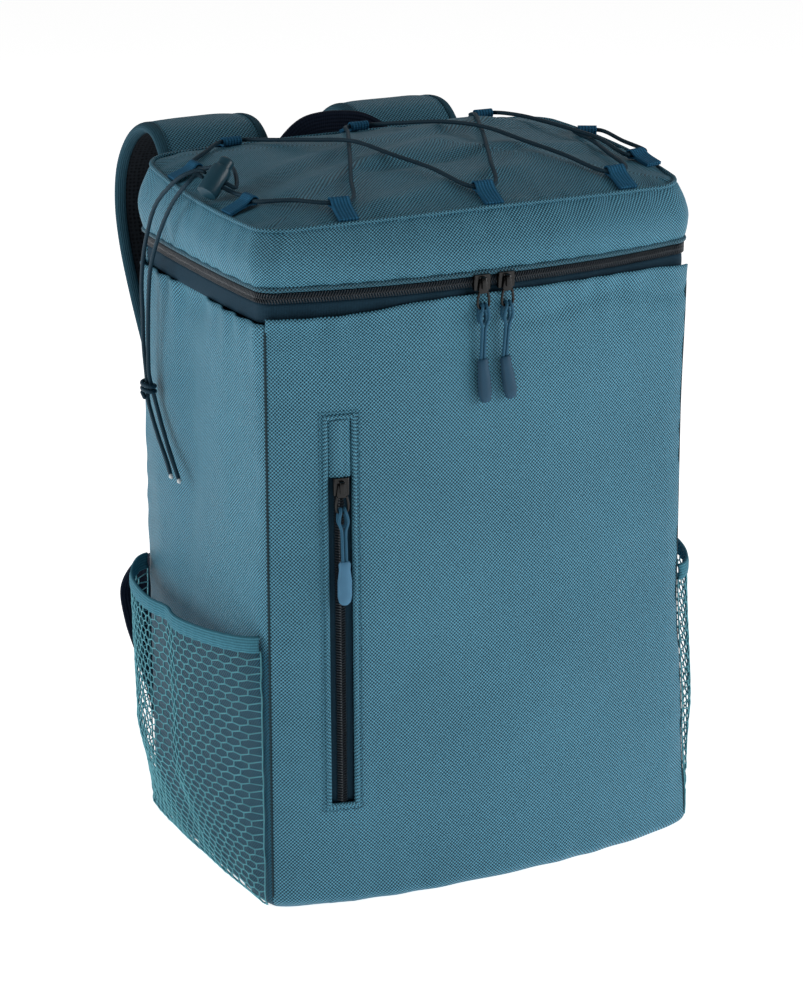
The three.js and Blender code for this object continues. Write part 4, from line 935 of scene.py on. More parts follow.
class BACKPACK_OT_camera(bpy.types.Operator):
    """Set the camera at the photograph's angle"""

    bl_idname = "backpack.camera"
    bl_label = "Camera"

    def execute(self, context):
        data = bpy.data.cameras.new("camera")
        data.lens = LENS
        data.sensor_width = 36.0
        data.sensor_fit = "AUTO"
        data.clip_end = 20
        camera = bpy.data.objects.new("camera", data)
        azimuth, elevation = math.radians(AZIMUTH), math.radians(ELEVATION)
        back = Vector((math.sin(azimuth) * math.cos(elevation),
                       -math.cos(azimuth) * math.cos(elevation), math.sin(elevation)))
        turn = back.to_track_quat("Z", "Y").to_matrix().to_4x4()
        roll = Matrix.Rotation(math.radians(ROLL), 4, "Z")
        camera.matrix_world = Matrix.Translation(CAMERA_PLACE) @ turn @ roll
        context.scene.collection.objects.link(camera)
        context.scene.camera = camera
        return {"FINISHED"}


class BACKPACK_OT_stage(bpy.types.Operator):
    """Lay the pale floor and hang the soft studio lights"""

    bl_idname = "backpack.stage"
    bl_label = "Stage"

    def execute(self, context):
        bm = bmesh.new()
        bmesh.ops.create_grid(bm, x_segments=1, y_segments=1, size=12.0)
        floor = finished("floor", bm)
        made, _, shader = material("pale_floor")
        shader.inputs["Base Color"].default_value = (0.9, 0.9, 0.9, 1)
        shader.inputs["Roughness"].default_value = 0.9
        shader.inputs["Specular IOR Level"].default_value = 0.1
        shader.inputs["Emission Color"].default_value = (1, 1, 1, 1)
        shader.inputs["Emission Strength"].default_value = FLOOR_GLOW
        floor.data.materials.append(made)
        floor.location.z = -0.0004
        world = bpy.data.worlds.new("studio")
        world.use_nodes = True
        background = world.node_tree.nodes["Background"]
        background.inputs["Color"].default_value = (1, 1, 1, 1)
        background.inputs["Strength"].default_value = WORLD_GLOW
        context.scene.world = world
        context.scene.view_settings.view_transform = "Standard"
        for name, place, target, size, power in LIGHTS:
            data = bpy.data.lights.new(name, "AREA")
            data.size = size
            data.energy = power
            light = bpy.data.objects.new(name, data)
            aim = (Vector(place) - Vector(target)).to_track_quat("Z", "Y")
            light.matrix_world = Matrix.Translation(place) @ aim.to_matrix().to_4x4()
            context.scene.collection.objects.link(light)
        return {"FINISHED"}


# Lace and cords

def knot_line(centre):
    """A line that wraps round the two cords and comes out below the wraps."""
    turns = np.linspace(0, 2.3, 70)
    angle = 2 * math.pi * turns + 0.6
    wraps = np.stack([3.5 * np.cos(angle), 5.2 * np.sin(angle), 3.4 - 3.1 * turns], axis=1)
    tuck = np.linspace(0.1, 1, 8)[:, None]
    out = wraps[-1] + tuck * np.array((-1.0, -6.5, -1.8))
    return (np.concatenate([wraps, out]) + np.array(centre)) * MM


class BACKPACK_OT_tails(bpy.types.Operator):
    """Hang the lace's two loose ends with their knot"""

    bl_idname = "backpack.tails"
    bl_label = "Loose ends of the lace"

    def execute(self, context):
        s = sizes()
        knot = tube("tail_knot_wraps", knot_line(TAIL_KNOT), s.lace / 2, 10, tip=0.6)
        dress(knot, BAG, finish("lace"), ["tail_knot"])
        for strand, route in TAIL_ROUTES.items():
            line = curve_points(route, 1.5 * MM)
            cord = tube(f"tail_{strand}", line, s.lace / 2, 12)
            dress(cord, BAG, finish("lace"), [f"tail_{strand}_upper",
                                                      f"tail_{strand}_lower"])
            way = (line[-1] - line[-2]) / np.linalg.norm(line[-1] - line[-2])
            tip = tube(f"tail_{strand}_tip", np.array([line[-1] + way * d * MM for d in
                                                       (-1.0, 0, 1.0, 1.8)]), s.lace * 0.54, 12)
            dress(tip, BAG, finish("lace_tip"))
        return {"FINISHED"}


class BACKPACK_OT_lace(bpy.types.Operator):
    """Thread the lace over the lid and through its loops"""

    bl_idname = "backpack.lace"
    bl_label = "Lace and loops"

    def execute(self, context):
        s = sizes()
        line = curve_points(LACE_ROUTE, 1.5 * MM)
        lace = tube("lace", line, s.lace / 2, 12)
        dress(lace, BAG, finish("lace"), ["lace_cord"])
        for name, foot, eye, along in LACE_LOOPS:
            self.loop(name, Vector(foot) * MM, Vector(eye) * MM, Vector(along))
        return {"FINISHED"}

    def loop(self, name, foot, eye, along):
        """A strip of ribbed tape, folded round the lace and sewn into the seam."""
        s = sizes()
        cloth = 0.9 * MM
        forward = (eye - foot).normalized()
        up = along.cross(forward).normalized()
        reach = (eye - foot).length
        outer = s.lace / 2 + 1.1 * MM
        course = [(-1.5 * MM, 0.55 * MM), (reach - outer * 1.9, 0.75 * MM)]
        for k in range(13):
            turn = math.pi * (0.72 - 1.44 * k / 12)
            course.append((reach + outer * math.cos(turn), outer * math.sin(turn)))
        course += [(reach - outer * 1.9, -0.75 * MM), (-1.5 * MM, -0.5 * MM)]
        line = curve_points([(a, 0, b) for a, b in course], 0.6 * MM, 1.0)
        count = len(line) - 1

        def place(u, v):
            k = index(v * count)
            side = np.outer((u - 0.5) * s.loop_width, np.array(along))
            ahead = np.outer(line[k, 0], np.array(forward))
            return tuple((np.array(foot) + side + ahead + np.outer(line[k, 2], np.array(up))).T)

        inside = tuple(foot.lerp(eye, 0.6))
        strip = cloth_grid(f"loop_{name}", np.linspace(0, 1, 9), np.linspace(0, 1, count + 1),
                           place, thickness=cloth, inside=inside)
        strip.modifiers["Thickness"].offset = 0
        dress(strip, BAG, finish("loops"), [f"lace_loop_{name}"])


# Body

# Stations across the back and the sides, closer at the corner seams.
PANEL_RUNS = ((0, 0.05, 6), (0.05, 0.95, 60), (0.95, 1, 6))


def seam_puckers(along, apart, size, wave, seed):
    """Small gathers beside a seam: along runs on the seam, apart is the distance from it."""
    phase = np.sin(along * 1.7 / wave + seed) * 1.4
    return size * np.exp(-apart / (wave * 0.55)) * np.sin(along * 2 * math.pi / wave + phase)


class BACKPACK_OT_body(bpy.types.Operator):
    """Sew the body's front, back, sides and base"""

    bl_idname = "backpack.body"
    bl_label = "Body"

    def execute(self, context):
        self.front()
        self.back()
        for hand, outward in (("left", -1), ("right", 1)):
            self.side(hand, outward)
        self.base()
        self.corner_seams()
        return {"FINISHED"}

    def corner_seams(self):
        """Near-black seam cords that join the four upright panels at their corners; their dark tone
        is also painted shade for the narrow corner grooves.
        """
        s = sizes()
        z = np.linspace(3 * MM, s.body_height - 1 * MM, 70)
        for name, right, back in (("front_left", -1, -1), ("front_right", 1, -1),
                                  ("back_left", -1, 1), ("back_right", 1, 1)):
            lean = flare(z) if right > 0 else 0 * z
            x = right * (s.body_width / 2 - 2.7 * MM - foot_inset(z)) + lean
            y = back * (s.body_depth / 2 - 2.7 * MM - foot_inset(z))
            seam = tube(f"corner_seam_{name}", np.stack([x, y, z], axis=1), 0.9 * MM, 8)
            dress(seam, BAG, finish("seam"))

    def wrinkles(self, x, z, height, left, right, seed, gather=0.8 * MM):
        """How far the cloth stands proud of the smooth panel, gathered along its top seam."""
        soft = ripple(x, z, np.full_like(x, seed), 9.0, seed) * 1.6 * MM
        fine = ripple(x, z, np.full_like(x, seed), 38.0, seed + 3) * 0.28 * MM
        under = np.maximum(0, height - z)
        top = seam_puckers(x, under, gather, 24 * MM, seed) + gather * np.exp(-under / (13 * MM))
        foot = seam_puckers(x, z, 0.5 * MM, 34 * MM, seed + 2)
        near = np.minimum(x - left, right - x)
        sides = seam_puckers(z, np.maximum(0, near), 0.45 * MM, 22 * MM, seed + 5)
        fade = smooth(np.minimum(near, height - z) / (9 * MM)) * smooth(z / (9 * MM))
        return (soft + fine) * fade + (top + foot + sides) * smooth(near / (8 * MM))

    def front(self):
        s = sizes()
        left = -s.body_width / 2 + s.slot_from_edge
        right = left + s.slot_width
        top = s.slot_bottom + s.slot_height
        middle = np.array(s.slot_bottom + s.slot_height / 2)
        cuts = [float(front_share(np.array(x), middle)) for x in (left, right)]
        us = graded((0, 0.05, 7), (0.05, cuts[0], 12), (*cuts, 5), (cuts[1], 0.95, 90),
                    (0.95, 1, 7))
        h = s.body_height
        vs = graded((0, FOOT, 5), (FOOT, s.slot_bottom, 20), (s.slot_bottom, top, 76),
                    (top, h, 26))

        def place(u, z):
            x, y, _ = front_face(u, z)
            for cut, edge in zip(cuts, (left, right)):
                upright = np.abs(u - cut) < 1e-9
                x = np.where(upright, edge, x)
                y = np.where(upright, front_at(np.full_like(u, edge), z, 0)[1], y)
            rise = s.cloth_lip * (0.4 + 0.6 * np.exp(-((x - 34 * MM) / (104 * MM)) ** 6))
            lifted = z + rise * smooth((z - 0.93 * h) / (0.07 * h))
            proud = self.wrinkles(x, z, h, x.min(), x.max(), 1.0)
            away = np.maximum(np.maximum(left - x, x - right),
                              np.maximum(s.slot_bottom - z, z - top))
            calm = smooth((away - 1 * MM) / (12 * MM))
            roll = 1.2 * MM * np.exp(-np.maximum(0, away) / (2.2 * MM))
            lean = 0.6 * MM * np.exp(-((h - z) / (4 * MM)) ** 2)
            fold = 11 * MM + 3 * MM * np.sin(x / (17 * MM))
            crease = np.exp(-((h - z - fold) / (3.2 * MM)) ** 2) * smooth((x + 40 * MM) / (50 * MM))
            return x, y - proud * calm + roll - lean + 1.3 * MM * crease * calm, lifted

        def slot(u, z):
            return cuts[0] < u < cuts[1] and s.slot_bottom < z < top

        cloth = cloth_grid("front_cloth", us, vs, place, hole=slot, thickness=1.1 * MM)
        dress(cloth, BAG, finish("cloth"), ["front_panel"])

    def back(self):
        s = sizes()

        def place(u, z):
            x, y, _ = back_face(u, z)
            proud = self.wrinkles(x, z, s.body_height, x.min(), x.max(), 7.0)
            return x, y + proud, z

        us = graded(*PANEL_RUNS)
        vs = graded((0, FOOT, 5), (FOOT, s.body_height, 80))
        cloth = cloth_grid("back_cloth", us, vs, place, thickness=1.4 * MM)
        dress(cloth, BAG, finish("cloth"), ["back_panel"])

    def side(self, hand, outward):
        s = sizes()

        def place(u, z):
            x, y, _ = side_face(outward, u, z)
            proud = self.wrinkles(y, z, s.body_height, y.min(), y.max(), 11.0 + outward, 1.1 * MM)
            return x + outward * proud * 1.3, y, z

        us = graded(*PANEL_RUNS)
        vs = graded((0, FOOT, 5), (FOOT, s.body_height, 110))
        cloth = cloth_grid(f"side_cloth_{hand}", us, vs, place, thickness=1.4 * MM)
        dress(cloth, BAG, finish("side_cloth"), [f"side_panel_{hand}"])

    def base(self):
        """The underside, drawn out from its middle to the four panels' feet."""
        def place(u, v):
            ring = np.maximum(np.abs(u), np.abs(v))
            safe = np.maximum(ring, 1e-9)
            z = np.zeros_like(u)
            upright = np.abs(v) >= np.abs(u)
            share = np.where(upright, (u / safe + 1) / 2, (v / safe + 1) / 2)
            fx, fy, _ = front_face(share, z)
            bx, by, _ = back_face(share, z)
            lx, ly, _ = side_face(-1, share, z)
            rx, ry, _ = side_face(1, share, z)
            x = np.where(upright, np.where(v < 0, fx, bx), np.where(u > 0, rx, lx))
            y = np.where(upright, np.where(v < 0, fy, by), np.where(u > 0, ry, ly))
            shrink = 1 - 0.9 * MM / 0.09
            rim_lift = 2.0 * MM * smooth((ring - 0.97) / 0.03)
            return x * ring * shrink, y * ring * shrink, rim_lift

        line = graded((-1, -0.96, 5), (-0.96, 0.96, 40), (0.96, 1, 5))
        cloth = cloth_grid("base_cloth", line, line, place, thickness=2 * MM)
        dress(cloth, BAG, finish("cloth"), ["base_panel"])


# Zips

def tooth_rows(name, line, out):
    """Two rows of coil teeth that lock into each other along the middle of a zip."""
    s = sizes()
    unit = pill(0.6 * s.coil_width, 0.52 * s.tooth_pitch, 1.4 * MM)
    at = distances(line)
    count = int(at[-1] / s.tooth_pitch)
    places = []
    for k in range(count):
        for hand in (-1, 1):
            here = (k + 0.5 + hand * 0.25) * s.tooth_pitch
            centre = point_at(line, at, here)
            ahead = (point_at(line, at, here + 0.5 * MM) - centre).normalized()
            up = Vector(out(centre)).normalized()
            side = up.cross(ahead).normalized()
            up = ahead.cross(side)
            tilt = (side + ahead * 0.4 * hand).normalized()
            places.append(standing(tilt, up.cross(tilt), up,
                                   centre + side * hand * 0.19 * s.coil_width))
    return copies(name, unit, places)


class BACKPACK_OT_main_zip(bpy.types.Operator):
    """Lay the main zip's tapes and teeth round three sides, and the hinge round the back"""

    bl_idname = "backpack.main_zip"
    bl_label = "Main zip"

    def execute(self, context):
        s = sizes()
        course = [
            (side, t) for side in (3, 0, 1) for t in rim_stations(7, 40)[:-1]
            if not (side == 3 and t < -1 + ARC_SHARE) and not (side == 1 and t > 1 - ARC_SHARE)]
        sides = np.array([side for side, _ in course])
        spots = np.array([t for _, t in course])

        def strip(bottom, top, recess, bow):
            def place(k, v):
                k = index(k)
                z = bottom + (top - bottom) * v
                inset = recess - bow * (1 - (2 * v - 1) ** 2)
                x, y = on_rim(sides[k], spots[k], rim_shape(z), inset)
                return x, y, z
            return place

        ks = np.arange(len(course))
        foot = s.body_height + 11.3 * MM
        head = foot + s.coil_width
        lower = cloth_grid("main_tape_lower", ks, np.linspace(0, 1, 7),
                           strip(s.body_height + 0.2 * MM, foot - 0.1 * MM, 1.4 * MM, 0.3 * MM),
                           thickness=0.9 * MM)
        dress(lower, BAG, finish("tape"), ["main_zip_tape_lower"])
        upper = cloth_grid("main_tape_upper", ks, np.linspace(0, 1, 4),
                           strip(head + 0.1 * MM, lid_bottom(), 1.4 * MM, 0), thickness=0.9 * MM)
        dress(upper, BAG, finish("tape"), ["main_zip_tape_upper"])
        core = cloth_grid("main_coil_core", ks, np.linspace(0, 1, 5),
                          strip(foot, head, 1.3 * MM, 0.4 * MM), thickness=0.9 * MM)
        dress(core, BAG, finish("tape"))
        z = np.full(len(course), foot + s.coil_width / 2)
        x, y = on_rim(sides, spots, rim_shape(z), 0.7 * MM)
        line = np.stack([x, y, z], axis=1)
        teeth = tooth_rows("main_teeth", line, lambda p: (
            8 * p.x * abs(p.x / 0.135) ** 6, 12 * p.y * abs(p.y / 0.1) ** 4, 0))
        dress(teeth, BAG, finish("teeth"), ["main_zip_coil"])

        # The hinge cloth takes both back corners, up to the ends of the zip.
        arc = np.linspace(1 - ARC_SHARE, 1, 6)
        hinge_run = ([(1, t) for t in arc[:-1]] + [(2, t) for t in -arc[::-1]]
                     + [(2, t) for t in np.linspace(-1 + ARC_SHARE, 1 - ARC_SHARE, 50)[1:-1]]
                     + [(2, t) for t in arc] + [(3, t) for t in -arc[::-1][1:]])
        hinge_sides = np.array([side for side, _ in hinge_run])
        hinge_spots = np.array([t for _, t in hinge_run])

        def hinge(k, v):
            k = index(k)
            z = s.body_height - 0.5 * MM + (s.zip_band + 0.3 * MM) * v
            inset = 1.4 * MM - 0.6 * MM * np.sin(math.pi * v)
            x, y = on_rim(hinge_sides[k], hinge_spots[k], rim_shape(z), inset)
            return x, y, z

        cloth = cloth_grid("hinge_cloth", np.arange(len(hinge_run)), np.linspace(0, 1, 9),
                           hinge, thickness=1.6 * MM)
        dress(cloth, BAG, finish("cloth"), ["lid_hinge"])
        return {"FINISHED"}


class BACKPACK_OT_lid(bpy.types.Operator):
    """Sew the lid's band and its crown"""

    bl_idname = "backpack.lid"
    bl_label = "Lid"

    def execute(self, context):
        course = [(side, t) for side in (3, 0, 1, 2) for t in rim_stations(8, 56)[:-1]]
        course.append(course[0])
        sides = np.array([side for side, _ in course])
        spots = np.array([t for _, t in course])
        run = np.arange(len(course))

        def band(k, v):
            k = index(k)
            x, y = on_rim(sides[k], spots[k], lid_shape(v), 0)
            top_x, top_y = on_rim(sides[k], spots[k], lid_shape(1.0), 0)
            bottom = lid_bottom() - 1.2 * MM
            high = seam_height(top_x, top_y) - 0.4 * MM
            z = bottom + (high - bottom) * v
            size = np.hypot(x, y)
            soft = ripple(x, y, z, 22.0, 4.0) * 1.1 * MM + ripple(x, y, z, 60.0, 9.0) * 0.35 * MM
            run_along = np.where((sides[k] == 0) | (sides[k] == 2), x, y)
            low = seam_puckers(run_along, z - bottom, 0.5 * MM, 17 * MM, 2.0)
            top = seam_puckers(run_along, high - z, 0.7 * MM, 21 * MM, 5.0)
            proud = soft * np.sin(math.pi * np.clip(v, 0, 1)) + low + top
            tuck = 1.2 * MM * np.exp(-(1 - v) / 0.03) + 0.9 * MM * np.exp(-v / 0.04)
            proud = proud - tuck
            return x + x / size * proud, y + y / size * proud, z

        vs = graded((0, 0.1, 5), (0.1, 0.9, 22), (0.9, 1, 6))
        ring = cloth_grid("lid_band_cloth", run, vs, band, closed=True, thickness=1.6 * MM,
                          inside=(0, 0, 0.39))
        dress(ring, BAG, finish("cloth"), ["lid_band"])

        def crown(u, v):
            x, y, z = lid_point(u, v)
            edge = np.maximum(np.abs(u), np.abs(v))
            soft = ripple(x, y, z, 20.0, 14.0) * 1.5 * MM + ripple(x, y, z, 55.0, 19.0) * 0.4 * MM
            calm = smooth((1 - edge) / 0.12)
            run_along = np.where(np.abs(u) > np.abs(v), y, x)
            pull = seam_puckers(run_along, (1 - edge) * 0.09, 0.8 * MM, 19 * MM, 8.0)
            tuck = 1.3 * MM * np.exp(-(1 - edge) / 0.015)
            return x, y, z + soft * calm + pull * smooth((1 - edge) / 0.03) - tuck

        for name, v, lift, radius in (("lid_seam_roll", 1.0, 0.2 * MM, 1.3 * MM),
                                      ("lid_lower_roll", 0.0, 0, 1.7 * MM)):
            x, y = on_rim(sides, spots, lid_shape(v), 0.5 * MM)
            z = seam_height(x, y) + lift if v else np.full(len(x), lid_bottom() - 0.5 * MM)
            roll = tube(name, np.stack([x, y, z], axis=1), radius, 10, tip=1.0)
            dress(roll, BAG, finish("lid_cloth" if v else "lid_roll"))

        line = graded((-1, -0.94, 8), (-0.94, 0.94, 90), (0.94, 1, 8))
        top = cloth_grid("lid_crown", line, line, crown, thickness=1.2 * MM, inside=(0, 0, 0.2))
        dress(top, BAG, finish("lid_cloth"), ["lid_top"])
        return {"FINISHED"}


class BACKPACK_OT_pocket(bpy.types.Operator):
    """Set the upright pocket's welt, tape, teeth and zip garage into the front"""

    bl_idname = "backpack.pocket"
    bl_label = "Front pocket"

    def execute(self, context):
        s = sizes()
        left = -s.body_width / 2 + s.slot_from_edge
        right = left + s.slot_width
        top = s.slot_bottom + s.slot_height
        middle = (left + right) / 2
        zip_top = top - 33 * MM
        self.welt(left, right, s.slot_bottom, top)

        def tape(x, z):
            return front_at(x, z, 2.6 * MM + 0.5 * MM * ((x - middle) / (7 * MM)) ** 2)

        strip = cloth_grid("pocket_tape", np.linspace(left - 1 * MM, right + 1 * MM, 15),
                           np.linspace(s.slot_bottom - 1 * MM, zip_top + 6 * MM, 60), tape,
                           thickness=0.8 * MM)
        dress(strip, BAG, finish("tape"), ["pocket_zip_tape"])
        z = np.linspace(s.slot_bottom + 0.5 * MM, zip_top + 1 * MM, 120)
        x = np.full_like(z, middle)
        line = np.stack(front_at(x, z, 1.75 * MM), axis=1)
        teeth = tooth_rows("pocket_teeth", line, lambda p: (-0.15, -1, 0))
        dress(teeth, BAG, finish("teeth"), ["pocket_zip_coil"])

        def garage(x, z):
            share = (x - middle) / (s.slot_width / 2)
            arch = 2.2 * MM * (1 - np.abs(share) ** 2.6)
            mouth = 0.8 * MM * np.exp(-(z - zip_top) / (3 * MM)) * (1 - share ** 2)
            crease = 0.5 * MM * np.exp(-((share - 0.25) / 0.18) ** 2)
            return front_at(x, z, 1.1 * MM - arch - mouth + crease)

        cover = cloth_grid(
            "pocket_garage_cloth", np.linspace(left + 0.2 * MM, right - 0.2 * MM, 17),
            np.linspace(zip_top - 0.4 * MM, top - 0.2 * MM, 34), garage, thickness=0.9 * MM)
        dress(cover, BAG, finish("cloth"), ["pocket_garage"])
        return {"FINISHED"}

    def welt(self, left, right, bottom, top):
        """A soft rolled edge round the opening, with its row of stitches."""
        corners = ((left, bottom), (right, bottom), (right, top), (left, top), (left, bottom))
        spots = []
        for (x0, z0), (x1, z1) in zip(corners, corners[1:]):
            count = 8 if abs(x1 - x0) > abs(z1 - z0) else 80
            for k in range(count):
                spots.append((x0 + (x1 - x0) * k / count, z0 + (z1 - z0) * k / count))
        spots.append(spots[0])
        spots = np.array(spots)
        middle = np.array([(left + right) / 2, (bottom + top) / 2])
        half = np.array([(right - left) / 2, (top - bottom) / 2])
        shares = (spots - middle) / half

        def place(k, v):
            k = index(k)
            wide = -0.4 * MM + 3.4 * MM * v
            x = middle[0] + shares[k, 0] * (half[0] + wide)
            z = middle[1] + shares[k, 1] * (half[1] + wide)
            crown = 1.5 * MM * np.clip(1 - (2 * v - 1) ** 2, 0, 1) ** 0.6
            return front_at(x, z, 0.55 * MM - crown)

        edge = cloth_grid("pocket_welt_cloth", np.arange(len(spots)), np.linspace(0, 1, 9), place,
                          closed=True, thickness=0.7 * MM)
        dress(edge, BAG, finish("cloth"), ["pocket_welt"])
        path = []
        for k in range(len(spots)):
            x = middle[0] + shares[k, 0] * (half[0] + 4.4 * MM)
            z = middle[1] + shares[k, 1] * (half[1] + 4.4 * MM)
            path.append([float(c) for c in front_at(np.array(x), np.array(z), -0.1 * MM)])
        rows = stitch_row("pocket_stitches", np.array(path), (-0.1, -1, 0))
        dress(rows, BAG, finish("stitch"))


# Zip pulls

class BACKPACK_OT_pulls(bpy.types.Operator):
    """Hang the sliders, tabs, cord loops and moulded ends"""

    bl_idname = "backpack.pulls"
    bl_label = "Zip pulls"

    def execute(self, context):
        for prefix, body, lean, end in PULLS:
            slider = trimmed(f"{prefix}_slider_body", f"{prefix}_slider", 0.45 * MM)
            dress(slider, BAG, finish("metal"), [f"{prefix}_slider"])
            tab = self.tab(prefix)
            dress(tab, body, finish("metal"), [f"{prefix}_tab"])
            wire = self.wire(prefix)
            dress(wire, body, finish("metal"))
            cord = self.cord(prefix, lean)
            dress(cord, body, finish("pull_cord"), [f"{prefix}_pull_cord"])
            grip = trimmed(f"{prefix}_grip", f"{prefix}_pull_end", 0.3 * MM, 80)
            dress(grip, body, finish(end), [f"{prefix}_pull_end"])
        return {"FINISHED"}

    def frame(self, prefix):
        """Where a pull stands and how it is turned."""
        place, turn = PULL_PLACES[prefix]
        return Matrix.Translation(Vector(place) * MM) @ Matrix.Rotation(math.radians(turn), 4, "Z")

    def tab(self, prefix):
        """The tab's upper plate, wider towards its foot."""
        bm = bmesh.new()
        bmesh.ops.create_cube(bm, size=1.0)
        for vert in bm.verts:
            wide = 2.3 if vert.co.z > 0 else 3.3
            vert.co = (math.copysign(wide, vert.co.x), -3.55 + math.copysign(0.6, vert.co.y),
                       1.7 if vert.co.z > 0 else -6.2)
        bmesh.ops.scale(bm, vec=(MM, MM, MM), verts=bm.verts)
        bmesh.ops.bevel(bm, geom=list(bm.edges), offset=0.4 * MM, segments=2, profile=0.5,
                        affect="EDGES", material=-1)
        bmesh.ops.transform(bm, matrix=self.frame(prefix), verts=bm.verts)
        return finished(f"{prefix}_tab_plate", bm, 50)

    def wire(self, prefix):
        """The tab's open lower half, a bow as thin as wire."""
        bow = ((-2.7, -3.55, -5.2), (-3.3, -3.55, -8), (-3.6, -3.55, -11), (-3.1, -3.55, -13.6),
               (-1.7, -3.55, -14.7), (0, -3.55, -14.9), (1.7, -3.55, -14.7), (3.1, -3.55, -13.6),
               (3.6, -3.55, -11), (3.3, -3.55, -8), (2.7, -3.55, -5.2))
        place = self.frame(prefix)
        line = [place @ Vector(p) for p in curve_points(bow, 0.6 * MM)]
        return tube(f"{prefix}_tab_bow", np.array([p[:] for p in line]), 0.8 * MM, 10, tip=1.0)

    def cord(self, prefix, lean):
        """A loop of cord, hitched round the tab's lower bar and closed in the moulded end."""
        place = self.frame(prefix)
        line = []
        course = PULL_CORD + tuple((-x, y, z) for x, y, z in reversed(PULL_CORD[:-1]))
        for x, y, z in curve_points(course, 0.6 * MM):
            slide = lean * MM * (-13.9 * MM - z) / (29 * MM)
            line.append(place @ Vector((x + slide, y, z)))
        return tube(f"{prefix}_cord_loop", np.array([p[:] for p in line]), 0.95 * MM, 10, tip=1.0)


# Side nets

NET_INSET = 4 * MM
NET_RUN = 0.185
# Rise of one course and pull of its knots, as shares of a cell and of a course.
COURSE_RISE, KNOT_PULL = 0.52, 0.14


def net_stand_off(u, z):
    """How far the net stands off the side, with one pleat down it."""
    s = sizes()
    across = np.maximum(0, 4 * u * (1 - u))
    up = np.minimum(1, z / (s.net_top * 0.45)) ** 0.8
    pleat = 0.16 * np.exp(-((u - 0.45) / 0.07) ** 2)
    return 1.5 * MM + s.net_bulge * np.maximum(0, up * (across ** 0.6 - pleat))


def net_face(outward, u, z):
    """A point of the net: u runs from the front seam to the back one."""
    depth = sizes().body_depth
    share = (NET_INSET + (depth - 2 * NET_INSET) * u) / depth
    x, y, _ = side_face(outward, share, z)
    return x + outward * net_stand_off(u, np.maximum(z, 0)), y, z


class BACKPACK_OT_nets(bpy.types.Operator):
    """Hang the two side nets with their elastic bindings"""

    bl_idname = "backpack.nets"
    bl_label = "Side nets"

    def execute(self, context):
        for hand, outward in (("left", -1), ("right", 1)):
            self.binding(hand, outward)
            self.net(hand, outward)
        return {"FINISHED"}

    def net(self, hand, outward):
        """Cells of a brick grid whose courses are pulled into hexagons."""
        s = sizes()
        wide = int(NET_RUN / s.net_cell) * 2
        tall = int(s.net_top / (s.net_cell * COURSE_RISE))
        bm = bmesh.new()
        bmesh.ops.create_grid(bm, x_segments=wide, y_segments=tall, size=1.0)
        flat = {v: (round((v.co.x + 1) / 2 * wide), round((v.co.y + 1) / 2 * tall))
                for v in bm.verts}
        spare = []
        for edge in bm.edges:
            (i0, j0), (i1, j1) = flat[edge.verts[0]], flat[edge.verts[1]]
            if i0 == i1 and 0 < i0 < wide and (i0 + min(j0, j1)) % 2:
                spare.append(edge)
        points = {}
        for vert, (i, j) in flat.items():
            shift = KNOT_PULL * (-1 if (i + j) % 2 else 1) if 0 < j < tall else 0
            points[vert] = (i / wide, (j + shift) / tall)
        u = np.array([points[v][0] for v in bm.verts])
        z = np.array([points[v][1] for v in bm.verts]) * (s.net_top + 0.5 * MM) + 0.4 * MM
        x, y, _ = net_face(outward, u, z)
        jitter = ripple(u, z, z * 0, 60.0, 3.0 + outward) * 0.5 * MM
        for vert, point in zip(bm.verts, zip(x + jitter * outward, y + jitter, z)):
            vert.co = point
        bmesh.ops.dissolve_edges(bm, edges=spare, use_verts=False, use_face_split=False)
        net = finished(f"net_{hand}", bm)
        strands = net.modifiers.new("Strands", "WIREFRAME")
        strands.thickness = s.net_strand
        strands.use_even_offset = False
        strands.use_boundary = True
        dress(net, BAG, finish("net"), [f"net_pocket_{hand}"])

    def binding(self, hand, outward):
        """Elastic that gathers the net's upper edge."""
        s = sizes()

        def place(u, v):
            sag = 5 * MM * 4 * u * (1 - u)
            x, y, _ = net_face(outward, u, np.full_like(u, s.net_top))
            z = s.net_top + 0.3 * MM + v * 10 * MM - sag * v * 0.2
            gather = 0.35 * MM * np.sin(u * 150) * (1 - v)
            return x + outward * (0.5 * MM + 0.8 * MM * np.sin(math.pi * v) + gather), y, z

        strip = cloth_grid(f"net_binding_{hand}", np.linspace(0, 1, 160), np.linspace(0, 1, 9),
                           place, thickness=1.6 * MM)
        dress(strip, BAG, finish("binding"), [f"pocket_binding_{hand}"])


# Cord lock

class BACKPACK_OT_cord_lock(bpy.types.Operator):
    """Make the cord lock's barrel and plunger"""

    bl_idname = "backpack.cord_lock"
    bl_label = "Cord lock"

    def execute(self, context):
        barrel = trimmed("lock_barrel", "cord_lock_barrel", 0.35 * MM, 50)
        dress(barrel, BAG, finish("plastic"), ["cord_lock_barrel"])
        plunger = trimmed("lock_plunger_button", "cord_lock_plunger", 0.35 * MM, 50)
        dress(plunger, "lock_plunger", finish("plastic"), ["cord_lock_plunger"])
        return {"FINISHED"}


# Straps and handle

